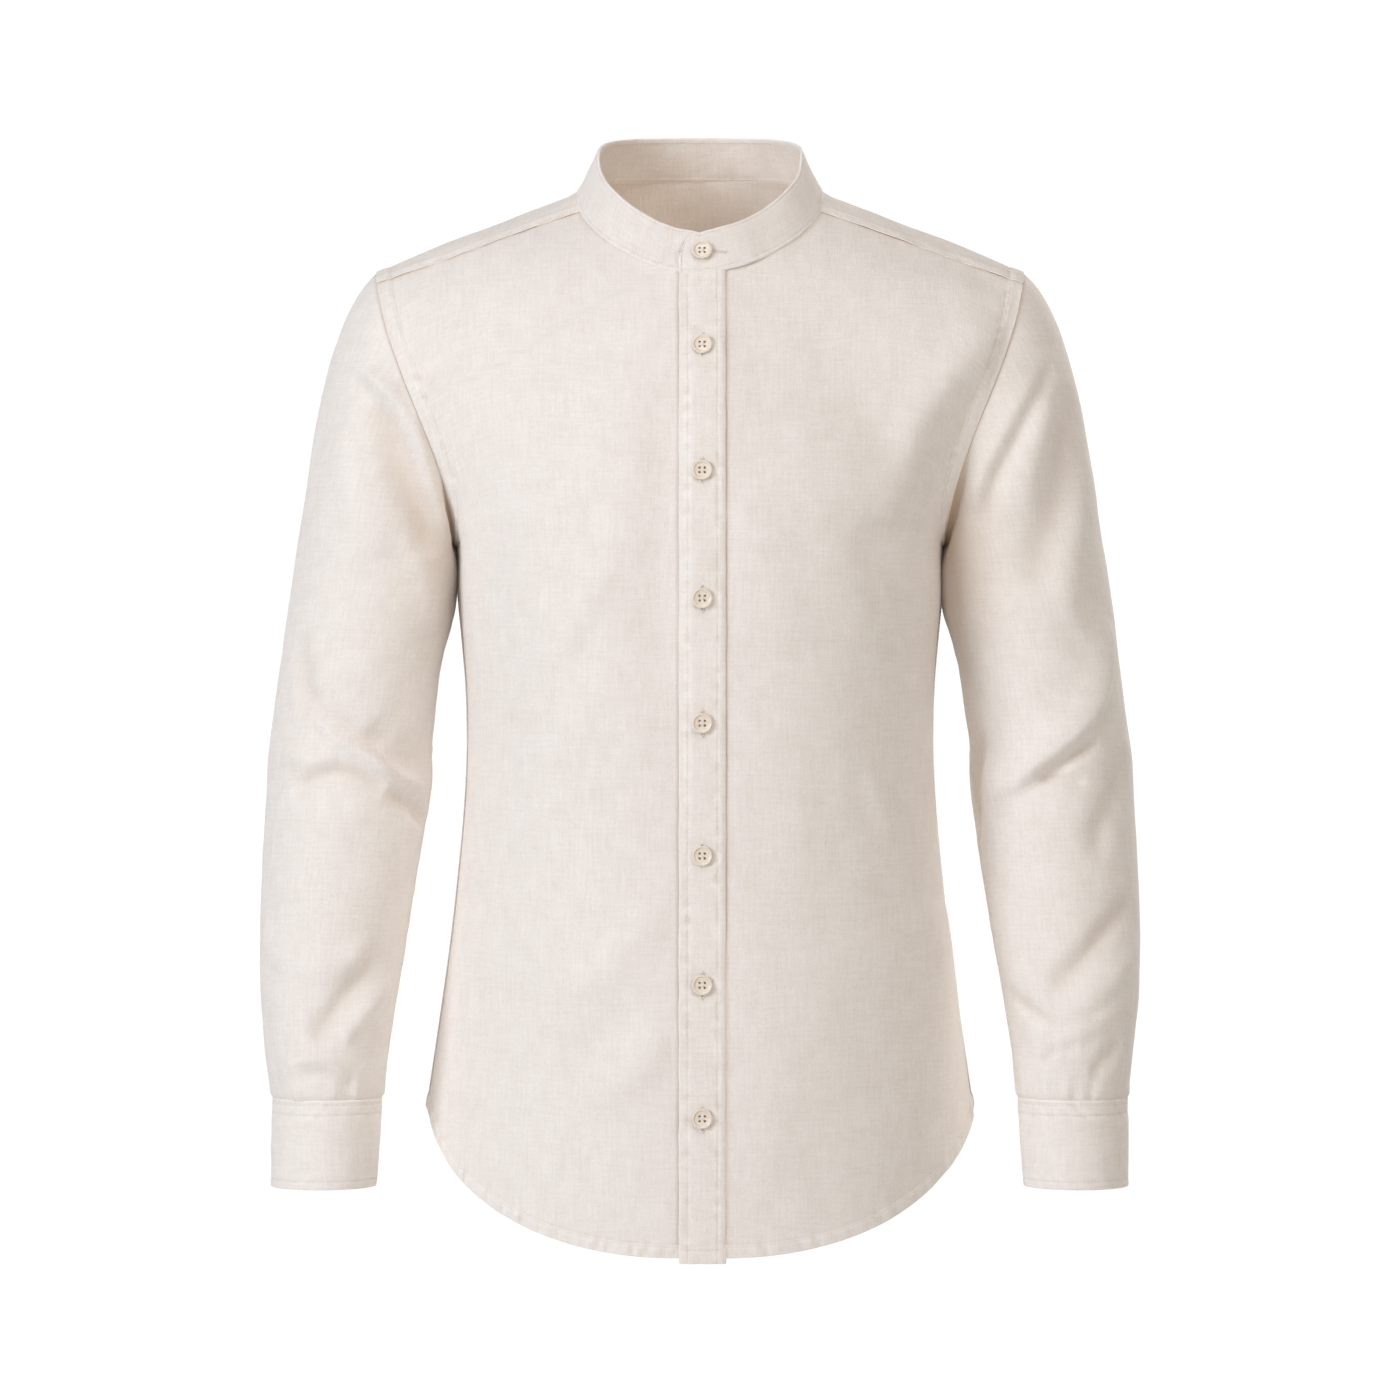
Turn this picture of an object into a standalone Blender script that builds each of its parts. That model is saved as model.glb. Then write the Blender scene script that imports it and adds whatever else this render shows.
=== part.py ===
"""Button-up shirt with a band collar, filled out as it is worn: hollow, and open at the neck, hem and cuffs.

Metres, +Z up. The front faces -Y and the wearer's left is +X. The origin is the middle of the neck, level
with the two points where the collar meets the shoulders. Each panel is a grid of points on the outer face
of its cloth, which Solidify thickens inwards.
"""

import math
from bisect import bisect_right
from collections import namedtuple

import bpy
from mathutils import Matrix, Vector

# Cloth and gaps
CLOTH = 0.0012  # one layer, with the turnings at its seams
DOUBLE = 0.0022  # collar band and cuffs: two layers and an interlining
STRIP = 0.0016  # front and sleeve plackets, folded double
SEAM_GAP = 0.0006  # between the outer faces of two pieces that are sewn edge to edge
SIDE_GAP = 0.0011  # the same at the side seams
ARMHOLE_GAP = 0.0010  # and round the armhole, where the sleeve hangs close beside the body
LAY_GAP = 0.0004  # between a panel and what lies on it
BAND_LAY_GAP = 0.0005  # between the two ends of the collar band

# Heights
HEM_FRONT = -0.743
HEM_BACK = -0.755
HEM_CORNER = -0.6486  # where the two hems meet the side seam
UNDERARM = -0.252
YOKE_BACK = -0.085  # the back yoke seam at the middle
CAP_END = -0.300  # the sleeve is a plain tube below this height
SLEEVE_HEIGHTS = (-0.335, -0.362, -0.385, -0.402, -0.418, -0.434, -0.455, -0.490, -0.530, -0.570, -0.607)
SLEEVE_END = -0.6410
CUFF_TOP = -0.6415
CUFF_END = -0.7006
CUFF_MIDDLE = (CUFF_TOP + CUFF_END) / 2

# Neck loop, from the front (0 degrees) round the wearer's left side (90) to the back (180)
NECK_HALF_WIDTH = 0.0855
NECK_MIDDLE_Y = -0.0065
NECK_HALF_DEPTH = 0.0685
BAND_TOP_HALF_WIDTH = 0.0725
BAND_TOP_MIDDLE_Y = -0.0060
BAND_TOP_HALF_DEPTH = 0.0560
BAND_RISE = 0.0283
BAND_DIP = 0.0020  # how far its top edge drops to the middle of the front
BAND_DIP_ANGLE = 20  # and over what angle
YOKE_SEAM_ANGLE = 78  # where the front yoke seam meets the neck
BAND_OVER_ANGLES = (-355, -359, -362, -365, -367.5, -369)  # the end that laps over, past the middle
BAND_LAP_START = -322  # the band has begun to stand out over its own under end
BAND_LAP_ANGLE = 22
BAND_DROOP_START = -346
BAND_DROOP = 0.0022  # how far the over end drops
BAND_DROOP_ALONG = Vector((0, -0.4, -1))  # down the slope of the front
BAND_ROUND_WIDTH = 0.012  # the rounded corner of the over end
BAND_ROUND_HEIGHT = 0.60  # as a share of the band's height

# Armhole loop, from the shoulder tip (0 degrees) over the front (90) to the underarm (180)
ARMHOLE_MIDDLE_Z = -0.1548
ARMHOLE_HALF_HEIGHT = 0.0972
ARMHOLE_TOP_X = 0.2255
ARMHOLE_SLANT = 0.0527  # how much nearer the body's middle the underarm is
ARMHOLE_FLARE = 0.0035  # and how far the shoulder tip stands out
SIDE_Y = 0.002  # the side seam and the middle of the armhole
ARMHOLE_DEPTH_FRONT = 0.060
ARMHOLE_DEPTH_BACK = 0.062
FRONT_SEAM_PHI = 26
BACK_SEAM_PHI = -40

# Front edge and placket
STRIP_HALF = 0.018  # the fronts lie flat across this half width
LEFT_EDGE_ANGLE = 7.0  # the left front ends here under the placket, as an angle on the neck loop
RIGHT_EDGE_ANGLE = -6.5  # the right front goes past the middle to here
PLACKET_LEFT = -0.0141
PLACKET_RIGHT = 0.0175
PLACKET_TOP_LEFT = -0.0650
PLACKET_TOP_RIGHT = -0.0616
PLACKET_END = -0.7465
BUTTON_X = 0.0015
BUTTON_HEIGHTS = (-0.1165, -0.2040, -0.2912, -0.3768, -0.4679, -0.5562, -0.6472)

# Panel rows, as shares of the way from the hem to the yoke
V_UNDERARM = 0.67
V_NECK = 0.868  # the fronts' neck edge starts here
BODY_ROWS = 12
ARMHOLE_ROWS_FRONT = 9
NECK_ROWS = 4
ARMHOLE_ROWS_BACK = 8
YOKE_ROWS = 9
YOKE_BACK_ROWS = 3  # those that start at the middle of the back, below the neck
V_BACK_NECK = YOKE_BACK_ROWS / YOKE_ROWS
HALF_COLUMNS = 10
SLEEVE_CAP_ROWS = 5
BAND_LEVELS = (0.33, 0.66, 1)  # above its seam, as shares of its height
CAP_SHARE = 0.36
CUFF_COLUMNS = 26

# Each line down the sleeve cap is one Bezier curve: its directions and the lengths of its handles
CAP_LEAVES_TOP = Vector((0.80, 0, -0.60))
CAP_LEAVES_UNDER = Vector((0.05, 0, -1.00))
CAP_SPREAD = -0.25  # how far the front and back lines turn outwards
CAP_ARRIVES = Vector((0.15, 0, -0.989))
CAP_LEAVING_HANDLE = 0.045
CAP_ARRIVING_HANDLE = 0.120
CAP_UNDER_HANDLE = 0.016
CAP_TURN = 1.2  # above 1, the lines leave the underarm more steeply

Finish = namedtuple("Finish", "colour roughness")
CLOTH_FINISH = Finish((0.87, 0.80, 0.72), 0.85)
BUTTON_FINISH = Finish((0.74, 0.62, 0.50), 0.35)

Level = namedtuple("Level", "z value")
NeckHeight = namedtuple("NeckHeight", "cosine z")
Handles = namedtuple("Handles", "v in_x in_y in_z out_x out_y out_z")
Ring = namedtuple("Ring", "z x y half_width half_depth")
Fold = namedtuple("Fold", "a0 z0 a1 z1 width height")

# Height of the neck loop, by the cosine of its angle: from the back (-1) to the front (1)
NECK_HEIGHTS = (
    NeckHeight(-1.00, 0.0140),
    NeckHeight(-0.70, 0.0114),
    NeckHeight(-0.35, 0.0064),
    NeckHeight(0.00, -0.0020),
    NeckHeight(0.21, -0.0155),
    NeckHeight(0.55, -0.0322),
    NeckHeight(0.83, -0.0490),
    NeckHeight(1.00, -0.0625),
)

# Half width of the body at its side seams
SIDE_SEAM = (
    Level(-0.6700, 0.1950),
    Level(-0.6486, 0.1932),
    Level(-0.6096, 0.1875),
    Level(-0.5670, 0.1812),
    Level(-0.5244, 0.1755),
    Level(-0.4818, 0.1708),
    Level(-0.4391, 0.1669),
    Level(-0.3965, 0.1648),
    Level(-0.3540, 0.1655),
    Level(-0.3113, 0.1690),
    Level(-0.2900, 0.1711),
    Level(-0.2700, 0.1719),
    Level(-0.2520, 0.1728),
)

# Depth of the middle of the front and of the back
CENTRE_FRONT = (
    Level(-0.760, -0.1270),
    Level(-0.600, -0.1300),
    Level(-0.450, -0.1245),
    Level(-0.330, -0.1260),
    Level(-0.235, -0.1255),
    Level(-0.170, -0.1130),
    Level(-0.120, -0.0980),
    Level(-0.0625, -0.0750),
)
CENTRE_BACK = (
    Level(-0.755, 0.118),
    Level(-0.600, 0.117),
    Level(-0.420, 0.098),
    Level(-0.300, 0.105),
    Level(-0.200, 0.111),
    Level(-0.140, 0.105),
    Level(-0.085, 0.088),
    Level(-0.040, 0.079),
    Level(0.014, 0.062),
)

# Each row of a panel is one Bezier curve from the middle of the body to its outer edge: its two handles
FRONT_HANDLES = (
    Handles(0.000, 0.094, 0.000, 0.000, -0.010, -0.076, -0.055),
    Handles(0.150, 0.092, 0.000, 0.000, -0.004, -0.077, -0.030),
    Handles(0.250, 0.092, 0.000, 0.000, 0.000, -0.078, -0.015),
    Handles(0.450, 0.088, 0.000, 0.000, 0.000, -0.077, -0.004),
    Handles(0.670, 0.100, 0.000, -0.004, -0.003, -0.082, 0.000),
    Handles(0.720, 0.096, 0.000, -0.008, -0.010, -0.058, -0.002),
    Handles(0.780, 0.086, 0.000, -0.013, -0.032, -0.042, -0.004),
    Handles(0.868, 0.062, -0.010, -0.020, -0.058, -0.028, 0.002),
    Handles(1.000, 0.048, -0.006, -0.0171, -0.050, -0.004, 0.0179),
)
BACK_HANDLES = (
    Handles(0.000, 0.117, 0.000, 0.000, -0.010, 0.070, -0.060),
    Handles(0.250, 0.110, 0.000, 0.000, 0.000, 0.070, -0.015),
    Handles(0.450, 0.105, 0.000, 0.000, 0.000, 0.066, -0.004),
    Handles(0.670, 0.120, 0.000, 0.000, -0.003, 0.082, 0.000),
    Handles(0.720, 0.118, 0.000, -0.001, -0.010, 0.058, 0.000),
    Handles(0.800, 0.106, 0.000, -0.004, -0.032, 0.036, 0.000),
    Handles(0.900, 0.094, 0.000, -0.006, -0.060, 0.022, 0.004),
    Handles(1.000, 0.085, 0.000, 0.000, -0.050, 0.018, 0.006),
)
YOKE_HANDLES = (
    Handles(0.000, 0.085, 0.000, 0.000, -0.050, 0.018, 0.006),
    Handles(0.333, 0.050, 0.000, -0.001, -0.055, 0.012, 0.022),
    Handles(0.500, 0.046, 0.004, -0.013, -0.060, 0.006, 0.0290),
    Handles(0.667, 0.030, 0.002, -0.0180, -0.075, 0.001, 0.0375),
    Handles(0.833, 0.035, -0.001, -0.0180, -0.070, -0.003, 0.0330),
    Handles(1.000, 0.048, -0.006, -0.0171, -0.050, -0.004, 0.0179),
)

# The sleeve below its cap, and the cuff
ARM = (
    Ring(-0.6410, 0.2621, -0.0340, 0.0390, 0.0385),
    Ring(-0.6284, 0.2621, -0.0323, 0.0405, 0.0410),
    Ring(-0.6075, 0.2625, -0.0293, 0.0431, 0.0440),
    Ring(-0.5657, 0.2618, -0.0214, 0.0484, 0.0490),
    Ring(-0.5237, 0.2591, -0.0129, 0.0522, 0.0530),
    Ring(-0.4815, 0.2554, -0.0053, 0.0548, 0.0560),
    Ring(-0.4391, 0.2512, 0.0011, 0.0574, 0.0580),
    Ring(-0.4179, 0.2495, 0.0040, 0.0583, 0.0580),
    Ring(-0.3965, 0.2490, 0.0050, 0.0574, 0.0575),
    Ring(-0.3752, 0.2464, 0.0060, 0.0573, 0.0580),
    Ring(-0.3326, 0.2405, 0.0050, 0.0575, 0.0595),
    Ring(-0.2900, 0.2331, 0.0040, 0.0595, 0.0610),
)
CUFF = (
    Ring(-0.7006, 0.2640, -0.0427, 0.0365, 0.0365),
    Ring(-0.6701, 0.2629, -0.0383, 0.0378, 0.0375),
    Ring(-0.6415, 0.2620, -0.0341, 0.0384, 0.0380),
)

# The cuff laps at the back outer side. Angles run from the outer side (0) over the front (90).
CUFF_UNDER_END = -105
CUFF_OVER_END = 290
CUFF_LAP_DONE = -30  # the under layer has come level with the rest of the cuff
CUFF_LAP_EASE = 2  # it stays fully drawn in this much past the over end
CUFF_BUTTON_ANGLE = 272
SLIT_ANGLE = 268  # middle of the sleeve placket
SLIT_HALF_ANGLE = 18
SLIT_LENGTH = 0.120

# Folds rise from a sewn edge over this share of the panel
SIDE_FADE = 0.16
TOP_FADE = 0.22
PLACKET_FADE = 0.12
PLACKET_FADE_START = 0.15
CAP_FADE = 0.12
CUFF_FADE = 0.08

# The largest folds: from (a0, z0) to (a1, z1), half width and height, outwards where positive.
# On the body a is x in metres, and on a sleeve it is the angle round the arm in degrees.
FRONT_FOLDS = (
    Fold(-0.095, -0.180, -0.060, -0.420, 0.030, 0.0035),
    Fold(-0.050, -0.230, -0.036, -0.520, 0.016, -0.0030),
    Fold(-0.130, -0.330, -0.090, -0.640, 0.024, -0.0030),
    Fold(-0.060, -0.520, -0.110, -0.735, 0.026, 0.0040),
    Fold(0.165, -0.230, 0.095, -0.330, 0.022, -0.0040),
    Fold(0.060, -0.200, 0.055, -0.480, 0.022, 0.0035),
    Fold(0.110, -0.330, 0.150, -0.600, 0.022, -0.0035),
    Fold(0.075, -0.480, 0.110, -0.735, 0.026, 0.0040),
    Fold(0.040, -0.560, 0.055, -0.740, 0.016, -0.0030),
)
BACK_FOLDS = (
    Fold(-0.100, -0.130, -0.060, -0.420, 0.026, 0.0040),
    Fold(-0.045, -0.150, -0.040, -0.740, 0.020, -0.0040),
    Fold(-0.120, -0.360, -0.090, -0.745, 0.026, -0.0035),
    Fold(0.095, -0.140, 0.050, -0.450, 0.028, 0.0035),
    Fold(0.035, -0.200, 0.030, -0.740, 0.020, -0.0040),
    Fold(0.130, -0.330, 0.100, -0.745, 0.026, -0.0040),
    Fold(0.000, -0.420, -0.005, -0.745, 0.018, 0.0045),
)
RIGHT_SLEEVE_FOLDS = (
    Fold(50, -0.120, 150, -0.235, 0.014, 0.0040),
    Fold(70, -0.170, 160, -0.275, 0.016, -0.0045),
    Fold(10, -0.352, 120, -0.415, 0.012, 0.0055),
    Fold(30, -0.405, 150, -0.424, 0.010, -0.0055),
    Fold(195, -0.400, 260, -0.395, 0.012, 0.0045),
    Fold(60, -0.560, 130, -0.500, 0.012, -0.0035),
    Fold(40, -0.600, 130, -0.575, 0.012, 0.0030),
    Fold(200, -0.560, 300, -0.480, 0.014, -0.0035),
)
LEFT_SLEEVE_FOLDS = (
    Fold(60, -0.115, 140, -0.215, 0.015, -0.0045),
    Fold(90, -0.200, 110, -0.300, 0.014, 0.0035),
    Fold(15, -0.362, 130, -0.430, 0.012, 0.0055),
    Fold(20, -0.385, 90, -0.412, 0.010, -0.0040),
    Fold(40, -0.423, 160, -0.446, 0.010, -0.0050),
    Fold(195, -0.402, 270, -0.405, 0.012, 0.0045),
    Fold(20, -0.510, 120, -0.570, 0.014, -0.0040),
    Fold(40, -0.590, 120, -0.610, 0.011, -0.0030),
    Fold(210, -0.500, 310, -0.575, 0.014, -0.0035),
)
ARM_RADIUS = 0.055  # turns an angle on a sleeve into a distance

# Buttons
BUTTON_RADIUS = 0.0070
BUTTON_HOLE_RADIUS = 0.0009
BUTTON_HOLE_OFFSET = 0.0016
BUTTON_STAND = 0.0005  # its thread holds it this far off the cloth
BUTTON_SIDES = 18
HOLE_SIDES = 6
ButtonPoint = namedtuple("ButtonPoint", "radius height")
BUTTON_PROFILE = (
    ButtonPoint(0.0000, 0.0017),
    ButtonPoint(0.0044, 0.0017),
    ButtonPoint(0.0052, 0.0024),
    ButtonPoint(0.0062, 0.0026),
    ButtonPoint(0.0070, 0.0018),
    ButtonPoint(0.0070, 0.0009),
    ButtonPoint(0.0060, 0.0000),
    ButtonPoint(0.0000, 0.0000),
)


# Curves and tables


def smooth_at(places, values, at):
    """The value at one place of a smooth curve through the given values, with the places rising."""
    last = len(places) - 1
    i = min(max(bisect_right(places, at) - 1, 0), last - 1)

    def slope(k):
        before, after = max(k - 1, 0), min(k + 1, last)
        return (values[after] - values[before]) / (places[after] - places[before])

    span = places[i + 1] - places[i]
    t = min(max((at - places[i]) / span, 0), 1)
    start = (1 + 2 * t) * (1 - t) ** 2 * values[i] + t * (1 - t) ** 2 * span * slope(i)
    end = t * t * (3 - 2 * t) * values[i + 1] + t * t * (t - 1) * span * slope(i + 1)
    return start + end


def read(table, column, at):
    """A column of a table at a place between its rows. The first column is the place."""
    places = [row[0] for row in table]
    return smooth_at(places, [getattr(row, column) for row in table], at)


def bezier(p0, p1, p2, p3, t):
    s = 1 - t
    return s**3 * p0 + 3 * s * s * t * p1 + 3 * s * t * t * p2 + t**3 * p3


def ease(t):
    t = min(max(t, 0), 1)
    return t * t * (3 - 2 * t)


def mix(a, b, t):
    return a + (b - a) * t


def fold_height(folds, a, z, metres_per_a=1.0):
    """How far the folds push the cloth out at one place."""
    total = 0
    place = Vector((a * metres_per_a, z))
    for fold in folds:
        start = Vector((fold.a0 * metres_per_a, fold.z0))
        along = Vector((fold.a1 * metres_per_a, fold.z1)) - start
        t = min(max((place - start).dot(along) / along.length_squared, 0), 1)
        away = (place - start - along * t).length / fold.width
        total += fold.height * math.exp(-away * away) * (1 - (2 * t - 1) ** 4)
    return total


# The loops that the pieces share


def neck(angle):
    c = math.cos(math.radians(angle))
    x = NECK_HALF_WIDTH * math.sin(math.radians(angle))
    y = NECK_MIDDLE_Y - NECK_HALF_DEPTH * c
    return Vector((x, y, read(NECK_HEIGHTS, "z", c)))


def armhole(phi):
    """The wearer's left armhole."""
    c = math.cos(math.radians(phi))
    s = math.sin(math.radians(phi))
    down = (1 - c) / 2
    x = ARMHOLE_TOP_X - ARMHOLE_SLANT * ease(down) + ARMHOLE_FLARE * (1 - down) ** 8
    depth = ARMHOLE_DEPTH_FRONT if s > 0 else ARMHOLE_DEPTH_BACK
    return Vector((x, SIDE_Y - depth * s, ARMHOLE_MIDDLE_Z + ARMHOLE_HALF_HEIGHT * c))


def side_seam(z):
    return Vector((read(SIDE_SEAM, "value", z), SIDE_Y, z))


# Body panels: u runs from the middle of the body (0) to its side (1), v from the hem (0) to the top (1)


def body_edge(v, top_phi):
    """The outer edge of a front or of the back: up the side seam, then round the armhole."""
    if v <= V_UNDERARM:
        return side_seam(mix(HEM_CORNER, UNDERARM, v / V_UNDERARM))
    return armhole(mix(180, top_phi, (v - V_UNDERARM) / (1 - V_UNDERARM)))


def row_curve(handles, v, inner, outer, u):
    into = Vector([read(handles, name, v) for name in ("in_x", "in_y", "in_z")])
    out = Vector([read(handles, name, v) for name in ("out_x", "out_y", "out_z")])
    return bezier(inner, inner + into, outer + out, outer, u)


def centre_front(z):
    return read(CENTRE_FRONT, "value", z)


def front_angle(v):
    """Where row v meets the neck loop."""
    start = math.degrees(math.asin(STRIP_HALF / NECK_HALF_WIDTH))
    return mix(start, YOKE_SEAM_ANGLE, (v - V_NECK) / (1 - V_NECK))


def strip_height(v):
    """Height of row v where it crosses the flat strip down the front."""
    return mix(HEM_FRONT, neck(front_angle(V_NECK)).z, min(v / V_NECK, 1))


def front_surface(u, v):
    if v < V_NECK:
        z = strip_height(v)
        inner = Vector((STRIP_HALF, centre_front(z), z))
    else:
        inner = neck(front_angle(v))
    return row_curve(FRONT_HANDLES, v, inner, body_edge(v, FRONT_SEAM_PHI), u)


def back_surface(u, v):
    if v < V_UNDERARM:
        z = mix(HEM_BACK, UNDERARM - 0.010, v / V_UNDERARM)
    else:
        z = mix(UNDERARM - 0.010, YOKE_BACK, (v - V_UNDERARM) / (1 - V_UNDERARM))
    inner = Vector((0, read(CENTRE_BACK, "value", z), z))
    return row_curve(BACK_HANDLES, v, inner, body_edge(v, 360 + BACK_SEAM_PHI), u)


def yoke_surface(u, v):
    """v runs from the back yoke seam, over the shoulder, to the front one."""
    if v < V_BACK_NECK:
        z = mix(YOKE_BACK, neck(180).z, v / V_BACK_NECK)
        inner = Vector((0, read(CENTRE_BACK, "value", z), z))
    else:
        inner = neck(mix(180, YOKE_SEAM_ANGLE, (v - V_BACK_NECK) / (1 - V_BACK_NECK)))
    return row_curve(YOKE_HANDLES, v, inner, armhole(mix(BACK_SEAM_PHI, FRONT_SEAM_PHI, v)), u)


def outward(surface, u, v, step=0.01):
    """The unit vector across a surface, to the side that is u turned towards v."""
    low_u, high_u = max(u - step, 0), min(u + step, 1)
    low_v, high_v = max(v - step, 0), min(v + step, 1)
    along_u = surface(high_u, v) - surface(low_u, v)
    along_v = surface(u, high_v) - surface(u, low_v)
    return along_u.cross(along_v).normalized()


def sewn_edge_fade(u, v):
    """0 along the edges that are sewn to a neighbour and 1 inside. The hem is free."""
    side_and_top = ease((1 - u) / SIDE_FADE) * ease((1 - v) / TOP_FADE)
    return side_and_top * ease(u / PLACKET_FADE + PLACKET_FADE_START)


# Sleeve: phi runs round the arm as on the armhole, s from the armhole (0) to the cuff (1)


def ring_point(table, z, phi, out=0.0):
    x, y = read(table, "x", z), read(table, "y", z)
    half_width, half_depth = read(table, "half_width", z), read(table, "half_depth", z)
    c, s = math.cos(math.radians(phi)), math.sin(math.radians(phi))
    return Vector((x + (half_width + out) * c, y - (half_depth + out) * s, z))


def sleeve_height(s):
    return mix(CAP_END, SLEEVE_END, (s - CAP_SHARE) / (1 - CAP_SHARE))


def sleeve_share(z):
    """The s of a height below the cap."""
    return mix(CAP_SHARE, 1, (z - CAP_END) / (SLEEVE_END - CAP_END))


def sleeve_surface(phi, s):
    if s >= CAP_SHARE:
        return ring_point(ARM, sleeve_height(s), phi)
    top_share = (1 + math.cos(math.radians(phi))) / 2
    under = CAP_LEAVES_UNDER + Vector((0, CAP_SPREAD * math.sin(math.radians(phi)), 0))
    leaving = mix(under, CAP_LEAVES_TOP, top_share**CAP_TURN).normalized()
    start, end = armhole(phi), ring_point(ARM, CAP_END, phi)
    first = start + leaving * mix(CAP_UNDER_HANDLE, CAP_LEAVING_HANDLE, top_share)
    second = end - CAP_ARRIVES * mix(CAP_UNDER_HANDLE, CAP_ARRIVING_HANDLE, top_share)
    return bezier(start, first, second, end, s / CAP_SHARE)


def sleeve_point(phi, s, folds):
    point = sleeve_surface(phi, s)
    across = sleeve_surface(phi + 2, s) - sleeve_surface(phi - 2, s)
    down = sleeve_surface(phi, min(s + 0.01, 1)) - sleeve_surface(phi, max(s - 0.01, 0))
    normal = across.cross(down).normalized()
    fade = ease(s / CAP_FADE) * ease((1 - s) / CUFF_FADE)
    metres_per_degree = math.radians(1) * ARM_RADIUS
    return point + normal * fade * fold_height(folds, phi % 360, point.z, metres_per_degree)


# Collar band


def band_surface(angle, h, out=0.0):
    """h runs from the neck seam (0) to the top edge (1)."""
    c, s = math.cos(math.radians(angle)), math.sin(math.radians(angle))
    bottom = neck(angle)
    dip = BAND_DIP * math.exp(-abs(math.remainder(angle, 360)) / BAND_DIP_ANGLE)
    top = Vector(
        (
            BAND_TOP_HALF_WIDTH * s,
            BAND_TOP_MIDDLE_Y - BAND_TOP_HALF_DEPTH * c,
            bottom.z + BAND_RISE - dip,
        )
    )
    rise = top - bottom
    around = Vector((NECK_HALF_WIDTH * c, NECK_HALF_DEPTH * s, 0))
    normal = around.cross(rise).normalized()
    return bottom + rise * h + normal * out


# Meshes


def clear_scene():
    for obj in list(bpy.data.objects):
        bpy.data.objects.remove(obj, do_unlink=True)


def make_material(name, finish):
    material = bpy.data.materials.new(name)
    material.use_nodes = True
    shader = material.node_tree.nodes["Principled BSDF"]
    shader.inputs["Base Color"].default_value = (*finish.colour, 1)
    shader.inputs["Roughness"].default_value = finish.roughness
    shader.inputs["Metallic"].default_value = 0
    material.diffuse_color = (*finish.colour, 1)
    return material


def add_object(name, mesh, finish):
    """An object with a material of its own, which a shared mesh leaves on the object."""
    obj = bpy.data.objects.new(name, mesh)
    bpy.context.scene.collection.objects.link(obj)
    if not mesh.materials:
        mesh.materials.append(None)
    obj.material_slots[0].link = "OBJECT"
    obj.material_slots[0].material = make_material(name + "_finish", finish)
    return obj


def grid_mesh(name, rows, flip=False, wrap=False):
    """A mesh of quads through rows of points. None leaves a place out, and wrap joins each row's ends."""
    points, index = [], {}
    for i, row in enumerate(rows):
        for j, point in enumerate(row):
            if point is not None:
                index[i, j] = len(points)
                points.append(point)
    columns = len(rows[0])
    faces = []
    for i in range(len(rows) - 1):
        for j in range(columns if wrap else columns - 1):
            k = (j + 1) % columns
            corners = [index.get(key) for key in ((i, j), (i, k), (i + 1, k), (i + 1, j))]
            if None not in corners:
                faces.append(corners[::-1] if flip else corners)
    mesh = bpy.data.meshes.new(name)
    mesh.from_pydata(points, [], faces)
    mesh.update()
    mesh.shade_smooth()
    return mesh


def add_cloth(name, rows, thickness, flip=False, wrap=False, mirror=False):
    """A panel from the points of its outer face, which is thickened inwards."""
    obj = add_object(name, grid_mesh(name, rows, flip, wrap), CLOTH_FINISH)
    if mirror:
        halves = obj.modifiers.new("Mirror", "MIRROR")
        halves.merge_threshold = 0.0001
        halves.use_clip = True
    wall = obj.modifiers.new("Solidify", "SOLIDIFY")
    wall.thickness = thickness
    wall.offset = -1
    wall.use_even_offset = True
    wall.use_quality_normals = True
    return obj


def mirrored(rows):
    return [[p and Vector((-p.x, p.y, p.z)) for p in row] for row in rows]


def pull_in(row, neighbours, gap):
    """A panel's edge moved back from its seam, towards the next row of points."""
    return [p + (n - p).normalized() * gap for p, n in zip(row, neighbours)]


# The pieces


def body_stations(armhole_rows):
    below = [V_UNDERARM * i / BODY_ROWS for i in range(BODY_ROWS)]
    above = [mix(V_UNDERARM, 1, i / armhole_rows) for i in range(armhole_rows + 1)]
    return below + above


def front_stations():
    """A front's rows, one of them where its neck edge starts."""
    stations = body_stations(ARMHOLE_ROWS_FRONT)
    stations[-1 - NECK_ROWS] = V_NECK
    return stations


def front_rows(side, strip_angles):
    """The grid of one front, on the wearer's left whichever side it is for. side is 1 or -1.

    strip_angles are where its flat strip has columns, as angles on the neck loop.
    """
    rows = []
    for v in front_stations():
        row = []
        for j in range(HALF_COLUMNS + 1):
            u = j / HALF_COLUMNS
            point = front_surface(u, v)
            push = fold_height(FRONT_FOLDS, side * point.x, point.z) * sewn_edge_fade(u, v)
            row.append(point + outward(front_surface, u, v) * push * (j > 0))
        if v < V_NECK:
            strip = [Vector((neck(angle).x, row[0].y, row[0].z)) for angle in strip_angles]
        elif v == V_NECK:
            strip = [neck(angle) for angle in strip_angles]
        else:
            strip = [None] * len(strip_angles)
        rows.append(strip + row)
    return rows


def add_fronts():
    left = front_rows(1, [LEFT_EDGE_ANGLE])
    right = front_rows(-1, [RIGHT_EDGE_ANGLE, 0])
    add_cloth("front_left", left, CLOTH)
    add_cloth("front_right", mirrored(right), CLOTH, flip=True)


def back_half(side):
    rows = []
    for i, v in enumerate(body_stations(ARMHOLE_ROWS_BACK)):
        row = []
        for j in range(HALF_COLUMNS):
            u = j / (HALF_COLUMNS - 1)
            point = back_surface(u, v)
            fade = ease((1 - u) / SIDE_FADE) * ease((1 - v) / TOP_FADE)
            push = fold_height(BACK_FOLDS, side * point.x, point.z) * fade
            row.append(point - outward(back_surface, u, v) * push)
        if i <= BODY_ROWS:
            row[-1] = row[-1] + (row[-2] - row[-1]).normalized() * SIDE_GAP
        rows.append(row)
    return rows


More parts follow.
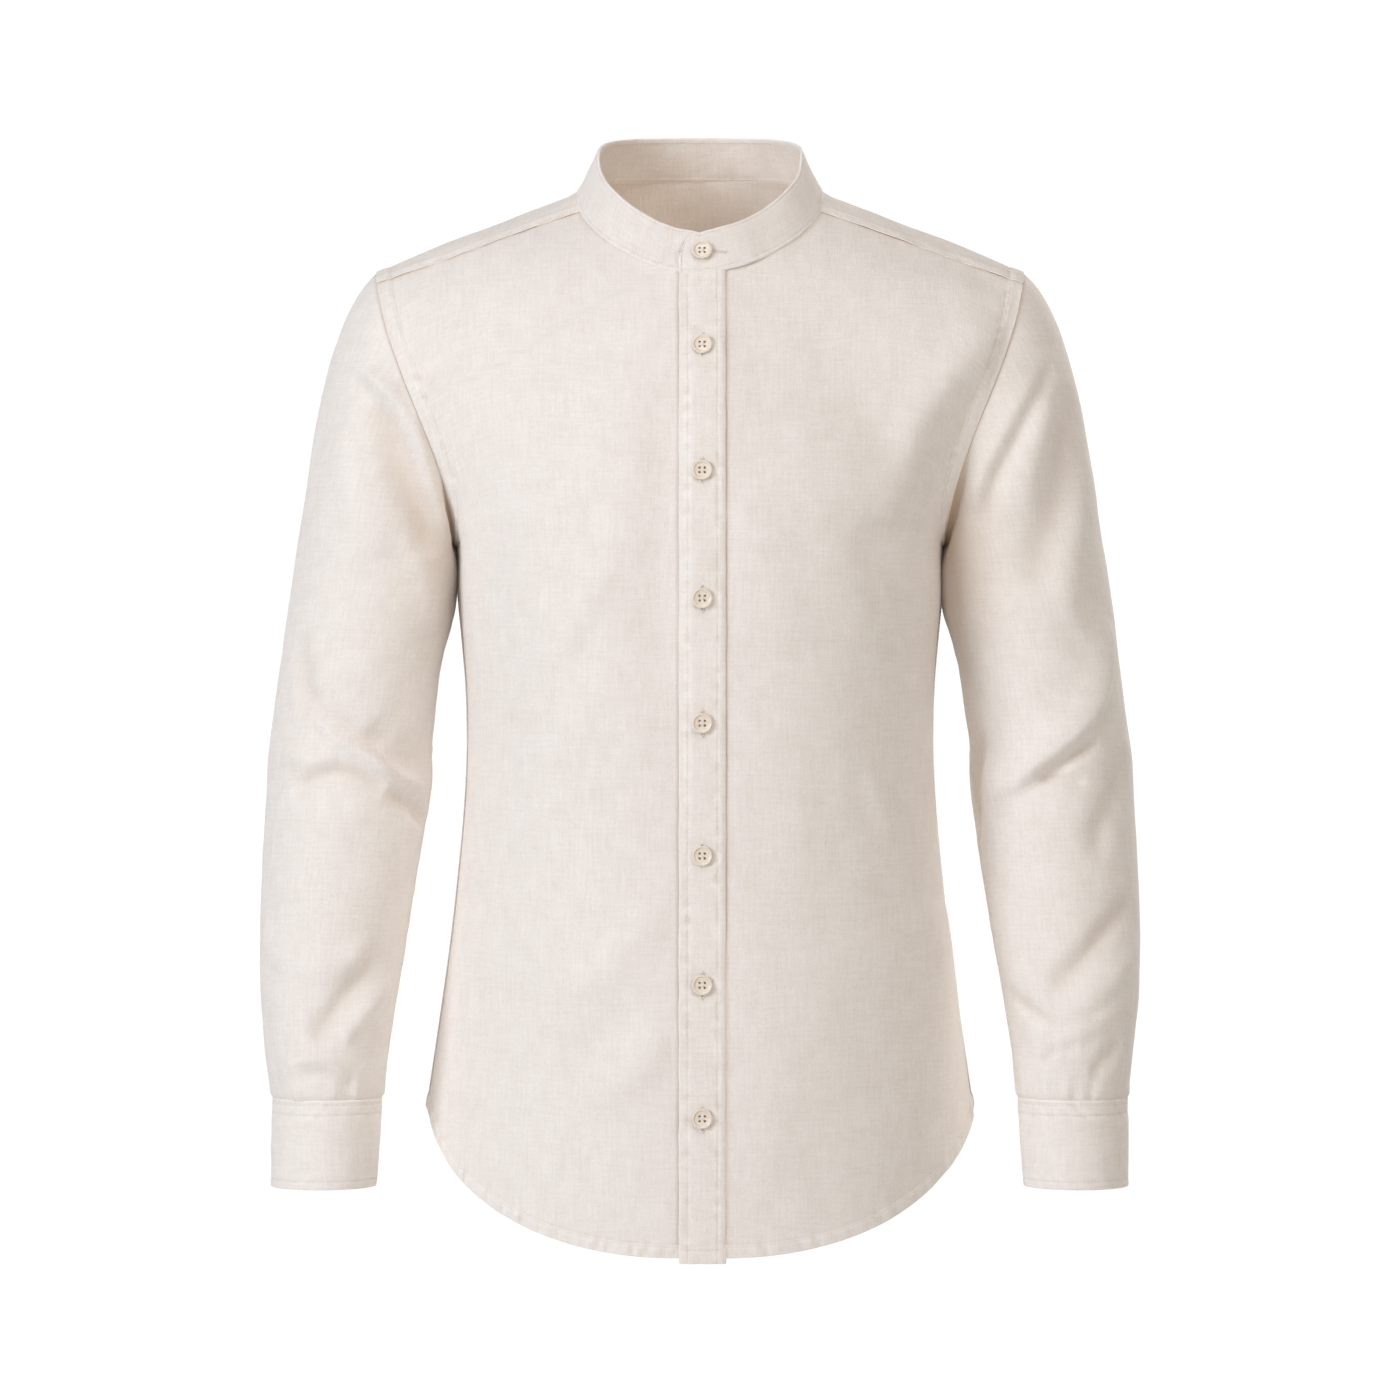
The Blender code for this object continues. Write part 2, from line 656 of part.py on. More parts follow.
def add_back():
    left, right = back_half(1), mirrored(back_half(-1))
    rows = [far[:0:-1] + near for far, near in zip(right, left)]
    add_cloth("back", rows, CLOTH, flip=True)


def add_yoke():
    rows = []
    for i in range(YOKE_ROWS + 1):
        v = i / YOKE_ROWS
        rows.append([yoke_surface(j / (HALF_COLUMNS - 1), v) for j in range(HALF_COLUMNS)])
    rows[0] = pull_in(rows[0], rows[1], SEAM_GAP)
    rows[-1] = pull_in(rows[-1], rows[-2], SEAM_GAP)
    add_cloth("yoke", rows, CLOTH, flip=True, mirror=True)


def sleeve_stations():
    """The angles round the sleeve: those where the body's rows meet the armhole."""
    front = [mix(FRONT_SEAM_PHI, 180, i / ARMHOLE_ROWS_FRONT) for i in range(ARMHOLE_ROWS_FRONT)]
    back = [mix(180, 360 + BACK_SEAM_PHI, i / ARMHOLE_ROWS_BACK) for i in range(ARMHOLE_ROWS_BACK)]
    top = [mix(BACK_SEAM_PHI, FRONT_SEAM_PHI, i / YOKE_ROWS) + 360 for i in range(YOKE_ROWS)]
    return front + back + top


def sleeve_rows(folds):
    cap = [CAP_SHARE * i / SLEEVE_CAP_ROWS for i in range(SLEEVE_CAP_ROWS)]
    arm = [sleeve_share(z) for z in (CAP_END, *SLEEVE_HEIGHTS, SLEEVE_END)]
    rows = [[sleeve_point(phi, s, folds) for phi in sleeve_stations()] for s in cap + arm]
    for j, point in enumerate(rows[0]):
        away = (rows[1][j] - point).normalized() + Vector((1, 0, 0))
        rows[0][j] = point + away.normalized() * ARMHOLE_GAP
    return rows


def sleeve_strip_rows(rows):
    """The placket over the slit: the sleeve's own points near the slit, moved out."""
    columns = [j for j, phi in enumerate(sleeve_stations()) if abs(phi - SLIT_ANGLE) <= SLIT_HALF_ANGLE]
    strip = []
    for row in rows:
        if row[0].z > SLEEVE_END + SLIT_LENGTH:
            continue
        middle = sum(row, Vector()) / len(row)
        strip.append([row[j] + (row[j] - middle).normalized() * (LAY_GAP + STRIP) for j in columns])
    strip[-1] = pull_in(strip[-1], strip[-2], SEAM_GAP)
    return strip


def cuff_tuck(phi):
    """How far the cuff has drawn in at an angle, from 0 to 1: fully where its over end covers it."""
    if phi < CUFF_OVER_END - 360 + CUFF_LAP_EASE:
        return 1
    start = CUFF_OVER_END - 360
    return 1 - ease((phi - start) / (CUFF_LAP_DONE - start))


def cuff_rows():
    """The cuff's outer face, from its under end all the way round to its over end."""
    rows = []
    for z in (CUFF_TOP, CUFF_MIDDLE, CUFF_END):
        row = []
        for i in range(CUFF_COLUMNS + 1):
            phi = mix(CUFF_UNDER_END, CUFF_OVER_END, i / CUFF_COLUMNS)
            row.append(ring_point(CUFF, z, phi, -cuff_tuck(phi) * (DOUBLE + 2 * LAY_GAP)))
        rows.append(row)
    return rows


def add_sleeve(side, folds):
    """side is 1 for the wearer's left."""
    name = "left" if side > 0 else "right"
    pieces = (
        ("sleeve_" + name, sleeve_rows(folds), CLOTH, True),
        ("sleeve_placket_" + name, sleeve_strip_rows(sleeve_rows(folds)), STRIP, False),
        ("cuff_" + name, cuff_rows(), DOUBLE, False),
    )
    for node, rows, thickness, wrap in pieces:
        placed = rows if side > 0 else mirrored(rows)
        add_cloth(node, placed, thickness, flip=side < 0, wrap=wrap)


def band_stations():
    """(angle, outward offset, droop) along the band, from its under end round the back to its over end."""
    front = [front_angle(mix(V_NECK, 1, i / NECK_ROWS)) for i in range(NECK_ROWS + 1)]
    steps = YOKE_ROWS - YOKE_BACK_ROWS
    back = [mix(YOKE_SEAM_ANGLE, 180, i / steps) for i in range(1, steps + 1)]
    half = front + back
    under_end = [front[0], LEFT_EDGE_ANGLE, 0]
    round_neck = [-a for a in half] + [a - 360 for a in half[-2::-1]]
    stations = []
    for angle in under_end + round_neck + list(BAND_OVER_ANGLES):
        lap = ease((BAND_LAP_START - angle) / BAND_LAP_ANGLE)
        past = max(BAND_DROOP_START - angle, 0) / (BAND_DROOP_START - BAND_OVER_ANGLES[-1])
        stations.append((angle, lap * (DOUBLE + BAND_LAY_GAP), BAND_DROOP * past))
    return stations


def add_band():
    """The over end has its upper corner rounded off."""
    end_x = neck(BAND_OVER_ANGLES[-1]).x
    levels = (SEAM_GAP / BAND_RISE, *BAND_LEVELS)
    rows = [[] for _ in levels]
    for angle, out, droop in band_stations():
        past_middle = angle < BAND_OVER_ANGLES[0] + 1
        into_corner = max(end_x + BAND_ROUND_WIDTH - neck(angle).x, 0) if past_middle else 0
        circle = math.sqrt(max(1 - (into_corner / BAND_ROUND_WIDTH) ** 2, 0))
        height = 1 - BAND_ROUND_HEIGHT * (1 - circle)
        for row, h in zip(rows, levels):
            point = band_surface(angle, mix(levels[0], height, h), out)
            row.append(point + BAND_DROOP_ALONG * droop)
    add_cloth("collar_band", rows, DOUBLE, flip=True)


def strip_normal(z):
    """Outwards from the flat strip down the front, across its slope."""
    step = 0.01
    slope = (centre_front(z + step) - centre_front(z - step)) / (2 * step)
    return Vector((0, -1, slope)).normalized()


def placket_face(x, z):
    """The outer face of the front placket, which lies on the fronts."""
    return Vector((x, centre_front(z), z)) + strip_normal(z) * (LAY_GAP + STRIP)


def add_front_placket():
    heights = [strip_height(v) for v in front_stations() if 0 < v < V_NECK]
    columns = (PLACKET_LEFT, BUTTON_X, PLACKET_RIGHT)
    rows = [[placket_face(x, z) for x in columns] for z in [PLACKET_END] + heights]
    top = []
    for x in columns:
        share = (x - PLACKET_LEFT) / (PLACKET_RIGHT - PLACKET_LEFT)
        top.append(placket_face(x, mix(PLACKET_TOP_LEFT, PLACKET_TOP_RIGHT, share)))
    add_cloth("front_placket", rows + [top], STRIP)


def hole_cutter():
    """Four prisms through a button, as one mesh."""
    points, faces = [], []
    for hole_x in (-BUTTON_HOLE_OFFSET, BUTTON_HOLE_OFFSET):
        for hole_y in (-BUTTON_HOLE_OFFSET, BUTTON_HOLE_OFFSET):
            first = len(points)
            for z in (-BUTTON_RADIUS, BUTTON_RADIUS):
                for k in range(HOLE_SIDES):
                    turn = math.tau * k / HOLE_SIDES
                    x = hole_x + BUTTON_HOLE_RADIUS * math.cos(turn)
                    y = hole_y + BUTTON_HOLE_RADIUS * math.sin(turn)
                    points.append((x, y, z))
            lower = list(range(first, first + HOLE_SIDES))
            faces.append(lower[::-1])
            faces.append([k + HOLE_SIDES for k in lower])
            for a, b in zip(lower, lower[1:] + lower[:1]):
                faces.append([a, b, b + HOLE_SIDES, a + HOLE_SIDES])
    mesh = bpy.data.meshes.new("button_holes")
    mesh.from_pydata(points, [], faces)
    return mesh


def button_mesh():
    """A turned button with four holes, its back at z = 0 and its face towards +Z."""
    points = [(p.radius, 0, p.height) for p in BUTTON_PROFILE]
    profile = bpy.data.meshes.new("button_profile")
    profile.from_pydata(points, [(i, i + 1) for i in range(len(points) - 1)], [])
    blank = bpy.data.objects.new("button_blank", profile)
    cutter = bpy.data.objects.new("button_holes", hole_cutter())
    for obj in (blank, cutter):
        bpy.context.scene.collection.objects.link(obj)
    turn = blank.modifiers.new("Screw", "SCREW")
    turn.steps = turn.render_steps = BUTTON_SIDES
    turn.use_merge_vertices = True
    turn.merge_threshold = 0.00001
    holes = blank.modifiers.new("Holes", "BOOLEAN")
    holes.object = cutter
    graph = bpy.context.evaluated_depsgraph_get()
    mesh = bpy.data.meshes.new_from_object(blank.evaluated_get(graph))
    for obj in (blank, cutter):
        bpy.data.objects.remove(obj, do_unlink=True)
    return mesh


def add_button(name, mesh, place, normal):
    """A button with the middle of its back at a place, facing along the normal."""
    obj = add_object(name, mesh, BUTTON_FINISH)
    side = Vector((0, 0, 1)).cross(normal).normalized()
    turned = Matrix((side, normal.cross(side), normal)).transposed()
    obj.location = place + normal * BUTTON_STAND
    obj.rotation_euler = turned.to_euler()


def add_front_buttons(mesh):
    for number, z in enumerate(BUTTON_HEIGHTS, start=1):
        add_button(f"button_{number}", mesh, placket_face(BUTTON_X, z), strip_normal(z))


def add_collar_button(mesh):
    out = DOUBLE + BAND_LAY_GAP
    angle = -360 + math.degrees(math.asin(BUTTON_X / NECK_HALF_WIDTH))
    place = band_surface(angle, 0.5, out)
    normal = (band_surface(angle, 0.5, out + DOUBLE) - place).normalized()
    add_button("button_collar", mesh, place, normal)


def add_cuff_buttons(mesh):
    angle = CUFF_BUTTON_ANGLE
    down = ring_point(CUFF, CUFF_END, angle) - ring_point(CUFF, CUFF_TOP, angle)
    across = ring_point(CUFF, CUFF_MIDDLE, angle + 1) - ring_point(CUFF, CUFF_MIDDLE, angle - 1)
    place, normal = ring_point(CUFF, CUFF_MIDDLE, angle), across.cross(down).normalized()
    for side, name in ((1, "left"), (-1, "right")):
        flip = Vector((side, 1, 1))
        add_button(f"cuff_button_{name}", mesh, place * flip, normal * flip)


def main():
    clear_scene()
    add_fronts()
    add_back()
    add_yoke()
    add_sleeve(1, LEFT_SLEEVE_FOLDS)
    add_sleeve(-1, RIGHT_SLEEVE_FOLDS)
    add_band()
    add_front_placket()
    mesh = button_mesh()
    add_front_buttons(mesh)
    add_collar_button(mesh)
    add_cuff_buttons(mesh)


main()
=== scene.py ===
import math
from collections import namedtuple

import bpy
import numpy as np
from mathutils import Matrix, Vector


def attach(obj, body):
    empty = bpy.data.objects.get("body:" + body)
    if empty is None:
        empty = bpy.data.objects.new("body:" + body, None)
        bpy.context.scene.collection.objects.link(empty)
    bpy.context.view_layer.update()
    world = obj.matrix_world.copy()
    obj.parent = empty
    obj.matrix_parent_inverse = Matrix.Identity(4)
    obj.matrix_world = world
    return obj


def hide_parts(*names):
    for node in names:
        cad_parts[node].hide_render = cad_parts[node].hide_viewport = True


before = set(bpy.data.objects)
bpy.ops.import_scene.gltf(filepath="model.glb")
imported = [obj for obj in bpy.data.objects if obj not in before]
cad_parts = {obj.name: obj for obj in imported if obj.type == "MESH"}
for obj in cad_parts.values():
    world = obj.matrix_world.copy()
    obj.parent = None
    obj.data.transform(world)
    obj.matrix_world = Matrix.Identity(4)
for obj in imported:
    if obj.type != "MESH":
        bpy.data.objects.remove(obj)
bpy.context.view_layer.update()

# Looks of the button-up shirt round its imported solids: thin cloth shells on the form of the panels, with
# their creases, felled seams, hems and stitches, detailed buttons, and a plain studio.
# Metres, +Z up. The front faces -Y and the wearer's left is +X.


def named_columns(names, *rows):
    """A table's columns by name. The first one is the place, and it rises from row to row."""
    return dict(zip(names.split(), np.array(rows, float).T))


Crease = namedtuple("Crease", "path width height lean")


def crease(width, height, *path, lean=0):
    """A crease in a panel's cloth, along a smooth path through points (a, z).

    Width is its half width, and height is outwards where positive. Lean makes the flank to the left of the
    way wider. On the body a is x in metres, and on a sleeve it is the angle round the arm in degrees.
    """
    return Crease(path, width, height, lean)


# The form, as the solids have it
#
# Angles are in degrees. Round the neck 0 is the front's middle and 90 the wearer's left. Round an armhole
# phi is 0 at the top, 90 in front and 180 below, and round a sleeve 0 is its outer side, 90 its front and
# 180 the side next to the body. v is the share of a panel's height, from its lower edge up.

DOUBLE = 0.0022  # thickness of the collar band and of the cuffs
STRIP = 0.0016  # and of the front placket
LAY_GAP = 0.0004  # between pieces that lie on one another
BAND_LAY_GAP = 0.0005
HEM_FRONT = -0.743
HEM_BACK = -0.755
HEM_CORNER = -0.6486
UNDERARM = -0.252
YOKE_BACK = -0.085
CAP_END = -0.300
SLEEVE_END = -0.6410
CUFF_TOP = -0.6415
CUFF_END = -0.7006
NECK_HALF_WIDTH = 0.0855
NECK_MIDDLE_Y = -0.0065
NECK_HALF_DEPTH = 0.0685
BAND_TOP_HALF_WIDTH = 0.0725
BAND_TOP_MIDDLE_Y = -0.0060
BAND_TOP_HALF_DEPTH = 0.0560
BAND_RISE = 0.0283
BAND_DIP = 0.0020
BAND_DIP_ANGLE = 20
YOKE_SEAM_ANGLE = 78
BAND_UNDER_END = 12.2
BAND_OVER_END = -369
BAND_LAP_START = -322
BAND_LAP_ANGLE = 22
BAND_DROOP_START = -346
BAND_DROOP = 0.0022
BAND_DROOP_ALONG = np.array((0, -0.4, -1))
BAND_ROUND_START = -354
BAND_ROUND_WIDTH = 0.012
BAND_ROUND_HEIGHT = 0.72
ARMHOLE_MIDDLE_Z = -0.1548
ARMHOLE_HALF_HEIGHT = 0.0972
ARMHOLE_TOP_X = 0.2255
ARMHOLE_SLANT = 0.0527
ARMHOLE_FLARE = 0.0035
SIDE_Y = 0.002
ARMHOLE_DEPTH_FRONT = 0.060
ARMHOLE_DEPTH_BACK = 0.062
FRONT_SEAM_PHI = 26
BACK_SEAM_PHI = -40
STRIP_HALF = 0.018
PLACKET_LEFT = -0.0141
PLACKET_RIGHT = 0.0175
PLACKET_TOP_LEFT = -0.0650
PLACKET_TOP_RIGHT = -0.0616
PLACKET_END = -0.7465
BUTTON_X = 0.0015
BUTTON_HEIGHTS = (-0.1165, -0.2040, -0.2912, -0.3768, -0.4679, -0.5562, -0.6472)
BUTTON_STAND = 0.0005
V_UNDERARM = 0.67
V_NECK = 0.868
V_BACK_NECK = 3 / 9
CAP_SHARE = 0.36
CAP_LEAVES_TOP = np.array((0.80, 0, -0.60))
CAP_LEAVES_UNDER = np.array((0.05, 0, -1.00))
CAP_SPREAD = -0.25
CAP_ARRIVES = np.array((0.15, 0, -0.989))
CAP_LEAVING_HANDLE = 0.045
CAP_ARRIVING_HANDLE = 0.120
CAP_UNDER_HANDLE = 0.016
CAP_TURN = 1.2
ARM_RADIUS = 0.055
CUFF_UNDER_END = -105
CUFF_OVER_END = 290
CUFF_LAP_DONE = -30
CUFF_LAP_EASE = 2
CUFF_BUTTON_ANGLE = 272
SLIT_ANGLE = 268

NECK_HEIGHTS = named_columns(
    "cosine z",
    (-1.00, 0.0140), (-0.70, 0.0114), (-0.35, 0.0064), (0.00, -0.0020), (0.21, -0.0155), (0.55, -0.0322),
    (0.83, -0.0490), (1.00, -0.0625),
)
# Most of SIDE_SEAM and ARM, and some of CUFF, was measured on the photo's outline by helper programs
SIDE_SEAM = named_columns(
    "z x",
    (-0.6700, 0.1950), (-0.6486, 0.1932), (-0.6096, 0.1875), (-0.5670, 0.1812), (-0.5244, 0.1755),
    (-0.4818, 0.1708), (-0.4391, 0.1669), (-0.3965, 0.1648), (-0.3540, 0.1655), (-0.3113, 0.1690),
    (-0.2900, 0.1711), (-0.2700, 0.1719), (-0.2520, 0.1728),
)
CENTRE_FRONT = named_columns(
    "z y",
    (-0.760, -0.1270), (-0.600, -0.1300), (-0.450, -0.1245), (-0.330, -0.1260), (-0.235, -0.1255),
    (-0.170, -0.1130), (-0.120, -0.0980), (-0.0625, -0.0750),
)
CENTRE_BACK = named_columns(
    "z y",
    (-0.755, 0.118), (-0.600, 0.117), (-0.420, 0.098), (-0.300, 0.105), (-0.200, 0.111), (-0.140, 0.105),
    (-0.085, 0.088), (-0.040, 0.079), (0.014, 0.062),
)
FRONT_HANDLES = named_columns(
    "v in_x in_y in_z out_x out_y out_z",
    (0.000, 0.094, 0.000, 0.000, -0.010, -0.076, -0.055),
    (0.150, 0.092, 0.000, 0.000, -0.004, -0.077, -0.030),
    (0.250, 0.092, 0.000, 0.000, 0.000, -0.078, -0.015),
    (0.450, 0.088, 0.000, 0.000, 0.000, -0.077, -0.004),
    (0.670, 0.100, 0.000, -0.004, -0.003, -0.082, 0.000),
    (0.720, 0.096, 0.000, -0.008, -0.010, -0.058, -0.002),
    (0.780, 0.086, 0.000, -0.013, -0.032, -0.042, -0.004),
    (0.868, 0.062, -0.010, -0.020, -0.058, -0.028, 0.002),
    (1.000, 0.048, -0.006, -0.0171, -0.050, -0.004, 0.0179),
)
BACK_HANDLES = named_columns(
    "v in_x in_y in_z out_x out_y out_z",
    (0.000, 0.117, 0.000, 0.000, -0.010, 0.070, -0.060),
    (0.250, 0.110, 0.000, 0.000, 0.000, 0.070, -0.015), (0.450, 0.105, 0.000, 0.000, 0.000, 0.066, -0.004),
    (0.670, 0.120, 0.000, 0.000, -0.003, 0.082, 0.000),
    (0.720, 0.118, 0.000, -0.001, -0.010, 0.058, 0.000),
    (0.800, 0.106, 0.000, -0.004, -0.032, 0.036, 0.000),
    (0.900, 0.094, 0.000, -0.006, -0.060, 0.022, 0.004),
    (1.000, 0.085, 0.000, 0.000, -0.050, 0.018, 0.006),
)
YOKE_HANDLES = named_columns(
    "v in_x in_y in_z out_x out_y out_z",
    (0.000, 0.085, 0.000, 0.000, -0.050, 0.018, 0.006),
    (0.333, 0.050, 0.000, -0.001, -0.055, 0.012, 0.022),
    (0.500, 0.046, 0.004, -0.013, -0.060, 0.006, 0.0290),
    (0.667, 0.030, 0.002, -0.0180, -0.075, 0.001, 0.0375),
    (0.833, 0.035, -0.001, -0.0180, -0.070, -0.003, 0.0330),
    (1.000, 0.048, -0.006, -0.0171, -0.050, -0.004, 0.0179),
)
ARM = named_columns(
    "z x y half_width half_depth",
    (-0.6410, 0.2621, -0.0340, 0.0390, 0.0385), (-0.6284, 0.2621, -0.0323, 0.0405, 0.0410),
    (-0.6075, 0.2625, -0.0293, 0.0431, 0.0440), (-0.5657, 0.2618, -0.0214, 0.0484, 0.0490),
    (-0.5237, 0.2591, -0.0129, 0.0522, 0.0530), (-0.4815, 0.2554, -0.0053, 0.0548, 0.0560),
    (-0.4391, 0.2512, 0.0011, 0.0574, 0.0580), (-0.4179, 0.2495, 0.0040, 0.0583, 0.0580),
    (-0.3965, 0.2490, 0.0050, 0.0574, 0.0575), (-0.3752, 0.2464, 0.0060, 0.0573, 0.0580),
    (-0.3326, 0.2405, 0.0050, 0.0575, 0.0595), (-0.2900, 0.2331, 0.0040, 0.0595, 0.0610),
)
CUFF = named_columns(
    "z x y half_width half_depth",
    (-0.7006, 0.2640, -0.0427, 0.0365, 0.0365), (-0.6701, 0.2629, -0.0383, 0.0378, 0.0375),
    (-0.6415, 0.2620, -0.0341, 0.0384, 0.0380),
)

# What the shells add to the form

WALL = 0.0007  # one layer of cloth
BAND_WALL = 0.0021  # the collar band with its layers
RIM_STEPS = 4  # round the rim of a shell, from its outer to its inner side
CREASE_PARTS = 3  # straight parts between two points of a crease
CREASE_STEP = 0.0026  # between the points of a panel
BACK_STEP = 0.0034
FINE_STEP = 0.0010  # and beside its hems and felled seams
HEM_WIDTH = 0.0085
SEAM_HEIGHT = 0.0009  # how far the layers of a felled band or hem stand out
SLEEVE_TUCK = 0.0003  # how deep the sleeve lies under the body at the armhole
CUFF_TUCK = 0.0012  # and under the cuff
ARMPIT_FOLD = 0.0055  # how deep the sleeve folds in beside the armpit
FOLD_DOWN = 0.0045  # and how far below the armhole it is deepest
SEAM_SHADE = 2.0  # how deep the cloth's colour gets beside a seam
CREASE_SHADE = 130  # and in a crease, for each metre of its depth
ARMHOLE_BAND = 0.0095
SIDE_BAND = 0.0065
YOKE_BAND = 0.0075
PLACKET_STITCH = 0.0055  # from the placket's edges to its rows of stitches
PLACKET_END_STITCH = 0.0092
PLACKET_LENGTH = 0.684
SLEEVE_STITCH = 0.0055
CUFF_SECOND_STITCH = 0.0085
CUFF_END_STITCH = 0.0050
BAND_LOWER = 0.0010  # the band's folded edge lies this far below the neck seam
BAND_LAST_COLUMNS = -351  # the angle where the columns of its over end start
YOKE_RISE = 0.0009  # the yoke's turned edges stand out this far
YOKE_OVERHANG = 0.0009  # and reach this far over the panels that they are sewn to
EDGE_STITCH = 0.0014
STITCH_INSET = 0.0009  # from a felled band's inner edge to its stitches
GROOVE_HALF = 0.0007  # half the width of the line that stitches pull in
FELLED_GROOVE = 0.00055  # and its depth in a felled band
PAINTED_SHADING_HEIGHT = 0.0003  # raised above its surroundings by this much, cloth gets the full painted highlight, and sunk by this much the full painted shade

# Soft unevenness: how high its lumps are, and how far apart
Lumps = namedtuple("Lumps", "height size")
FRONT_LUMPS = Lumps(0.0009, 0.040)
BACK_LUMPS = Lumps(0.0010, 0.040)
SMALL_LUMPS = Lumps(0.0003, 0.014)
YOKE_LUMPS = Lumps(0.0007, 0.030)
SLEEVE_LUMPS = Lumps(0.0009, 0.034)
SMALL_SLEEVE_LUMPS = Lumps(0.0003, 0.012)
CUFF_LUMPS = Lumps(0.0007, 0.028)
SMALL_CUFF_LUMPS = Lumps(0.00025, 0.009)
BAND_LUMPS = Lumps(0.0004, 0.035)
SMALL_BAND_LUMPS = Lumps(0.00022, 0.008)
PLACKET_LUMPS = Lumps(0.00035, 0.030)
PLACKET_WAVES = Lumps(0.00075, 0.0095)
SMALL_PLACKET_LUMPS = Lumps(0.00016, 0.005)
PLACKET_LEFT_WAVES = Lumps(0.00025, 0.011)
PLACKET_RIGHT_WAVES = Lumps(0.00020, 0.009)

# Ripples across a stitched line, and how far they reach to its sides
Ripple = namedtuple("Ripple", "height size reach")
ARMHOLE_RIPPLE = Ripple(0.00035, 0.0045, 0.0035)
HEM_RIPPLE = Ripple(0.00040, 0.0042, 0.0055)
TOP_RIPPLE = Ripple(0.00025, 0.009, 0.010)
YOKE_RIPPLE = Ripple(0.00025, 0.007, 0.004)
CAP_RIPPLE = Ripple(0.00045, 0.009, 0.012)
CUFF_GATHERS = Ripple(0.00100, 0.008, 0.015)
SLEEVE_SEAM_RIPPLE = Ripple(0.00030, 0.008, 0.006)
CUFF_RIPPLE = Ripple(0.00026, 0.0055, 0.0035)
BAND_RIPPLE = Ripple(0.00020, 0.005, 0.003)
PLACKET_RIPPLE = Ripple(0.00035, 0.0055, 0.003)

# Patches of a sleeve, round an angle and a height
Patch = namedtuple("Patch", "angle half_angle z half_height")
ARMPIT = Patch(148, 32, -0.235, 0.070)
UNDER_ARMPIT = Patch(165, 28, -0.275, 0.045)
UNDERARM_SEAM = Patch(180, 20, -0.273, 0.010)

# A helper program turned points picked on the photo into rows for the fronts and the sleeves
FRONT_CREASES = (
    crease(0.016, 0.0064, (0.209, -0.096), (0.186, -0.124), (0.164, -0.148), (0.148, -0.176),
           (0.139, -0.208), (0.137, -0.242)),
    crease(0.01, -0.003, (0.202, -0.135), (0.188, -0.164), (0.176, -0.194), (0.169, -0.228)),
    crease(0.016, -0.0008, (0.188, -0.07), (0.164, -0.096), (0.14, -0.117), (0.12, -0.144)),
    crease(0.014, -0.0026, (0.1157, -0.237), (0.1316, -0.2843), (0.1522, -0.3475)),
    crease(0.036, 0.007, (0.195, -0.06), (0.156, -0.12), (0.132, -0.175), (0.12, -0.24)),
    crease(0.038, 0.004, (0.156, -0.5), (0.156, -0.6), (0.148, -0.69)),
    crease(0.006, 0.0016, (0.1218, -0.264), (0.1406, -0.3188), (0.1603, -0.3749)),
    crease(0.008, 0.0022, (0.1133, -0.4029), (0.1321, -0.4516), (0.1478, -0.4932), (0.17, -0.5477)),
    crease(0.02, 0.0026, (0.0305, -0.2097), (0.0439, -0.2653), (0.0614, -0.3328)),
    crease(0.02, -0.0014, (0.0686, -0.3607), (0.0893, -0.4434), (0.0962, -0.5336)),
    crease(0.02, 0.0014, (0.0283, -0.4987), (0.0449, -0.5939), (0.0514, -0.7035)),
    crease(0.02, -0.0044, (-0.018, -0.11), (-0.0235, -0.2034), (-0.0235, -0.3), (-0.021, -0.46)),
    crease(0.014, -0.002, (-0.0686, -0.223), (-0.0966, -0.265), (-0.1136, -0.2982)),
    crease(0.012, 0.0024, (-0.0619, -0.2651), (-0.0757, -0.2924), (-0.1071, -0.3337), (-0.1249, -0.3754)),
    crease(0.014, 0.0024, (-0.0631, -0.336), (-0.0965, -0.4158), (-0.1191, -0.4761)),
    crease(0.016, 0.003, (-0.019, -0.4925), (-0.0669, -0.5478), (-0.1087, -0.5657)),
    crease(0.014, 0.003, (-0.0222, -0.5886), (-0.0538, -0.623), (-0.0749, -0.6405)),
    crease(0.014, -0.0022, (-0.0408, -0.5659), (-0.0699, -0.6005), (-0.096, -0.6328)),
    crease(0.02, -0.0014, (-0.1388, -0.3616), (-0.1495, -0.4661), (-0.1606, -0.5428)),
)
BACK_CREASES = (
    crease(0.021, 0.0072, (-0.1, -0.13), (-0.07, -0.274), (-0.06, -0.42)),
    crease(0.016, -0.0072, (-0.045, -0.15), (-0.037, -0.445), (-0.04, -0.74)),
    crease(0.021, -0.0063, (-0.12, -0.36), (-0.095, -0.552), (-0.09, -0.745)),
    crease(0.022, 0.0063, (0.095, -0.14), (0.082, -0.296), (0.05, -0.45)),
    crease(0.016, -0.0072, (0.035, -0.2), (0.038, -0.47), (0.03, -0.74)),
    crease(0.021, -0.0072, (0.13, -0.33), (0.125, -0.538), (0.1, -0.745)),
    crease(0.014, 0.0081, (0, -0.42), (0.001, -0.583), (-0.005, -0.745)),
    crease(0.012, 0.0055, (-0.15, -0.12), (-0.11, -0.175), (-0.085, -0.25)),
    crease(0.01, -0.005, (-0.17, -0.15), (-0.13, -0.205), (-0.11, -0.29)),
    crease(0.012, 0.005, (0.16, -0.11), (0.118, -0.165), (0.09, -0.24)),
    crease(0.01, -0.005, (0.178, -0.15), (0.138, -0.2), (0.118, -0.28)),
    crease(0.012, -0.0042, (-0.15, -0.4), (-0.09, -0.43), (-0.02, -0.42)),
    crease(0.01, 0.0032, (-0.14, -0.375), (-0.085, -0.4), (-0.03, -0.395)),
    crease(0.011, -0.004, (0.15, -0.42), (0.095, -0.405), (0.03, -0.44)),
    crease(0.01, 0.003, (0.145, -0.395), (0.09, -0.38), (0.04, -0.41)),
)
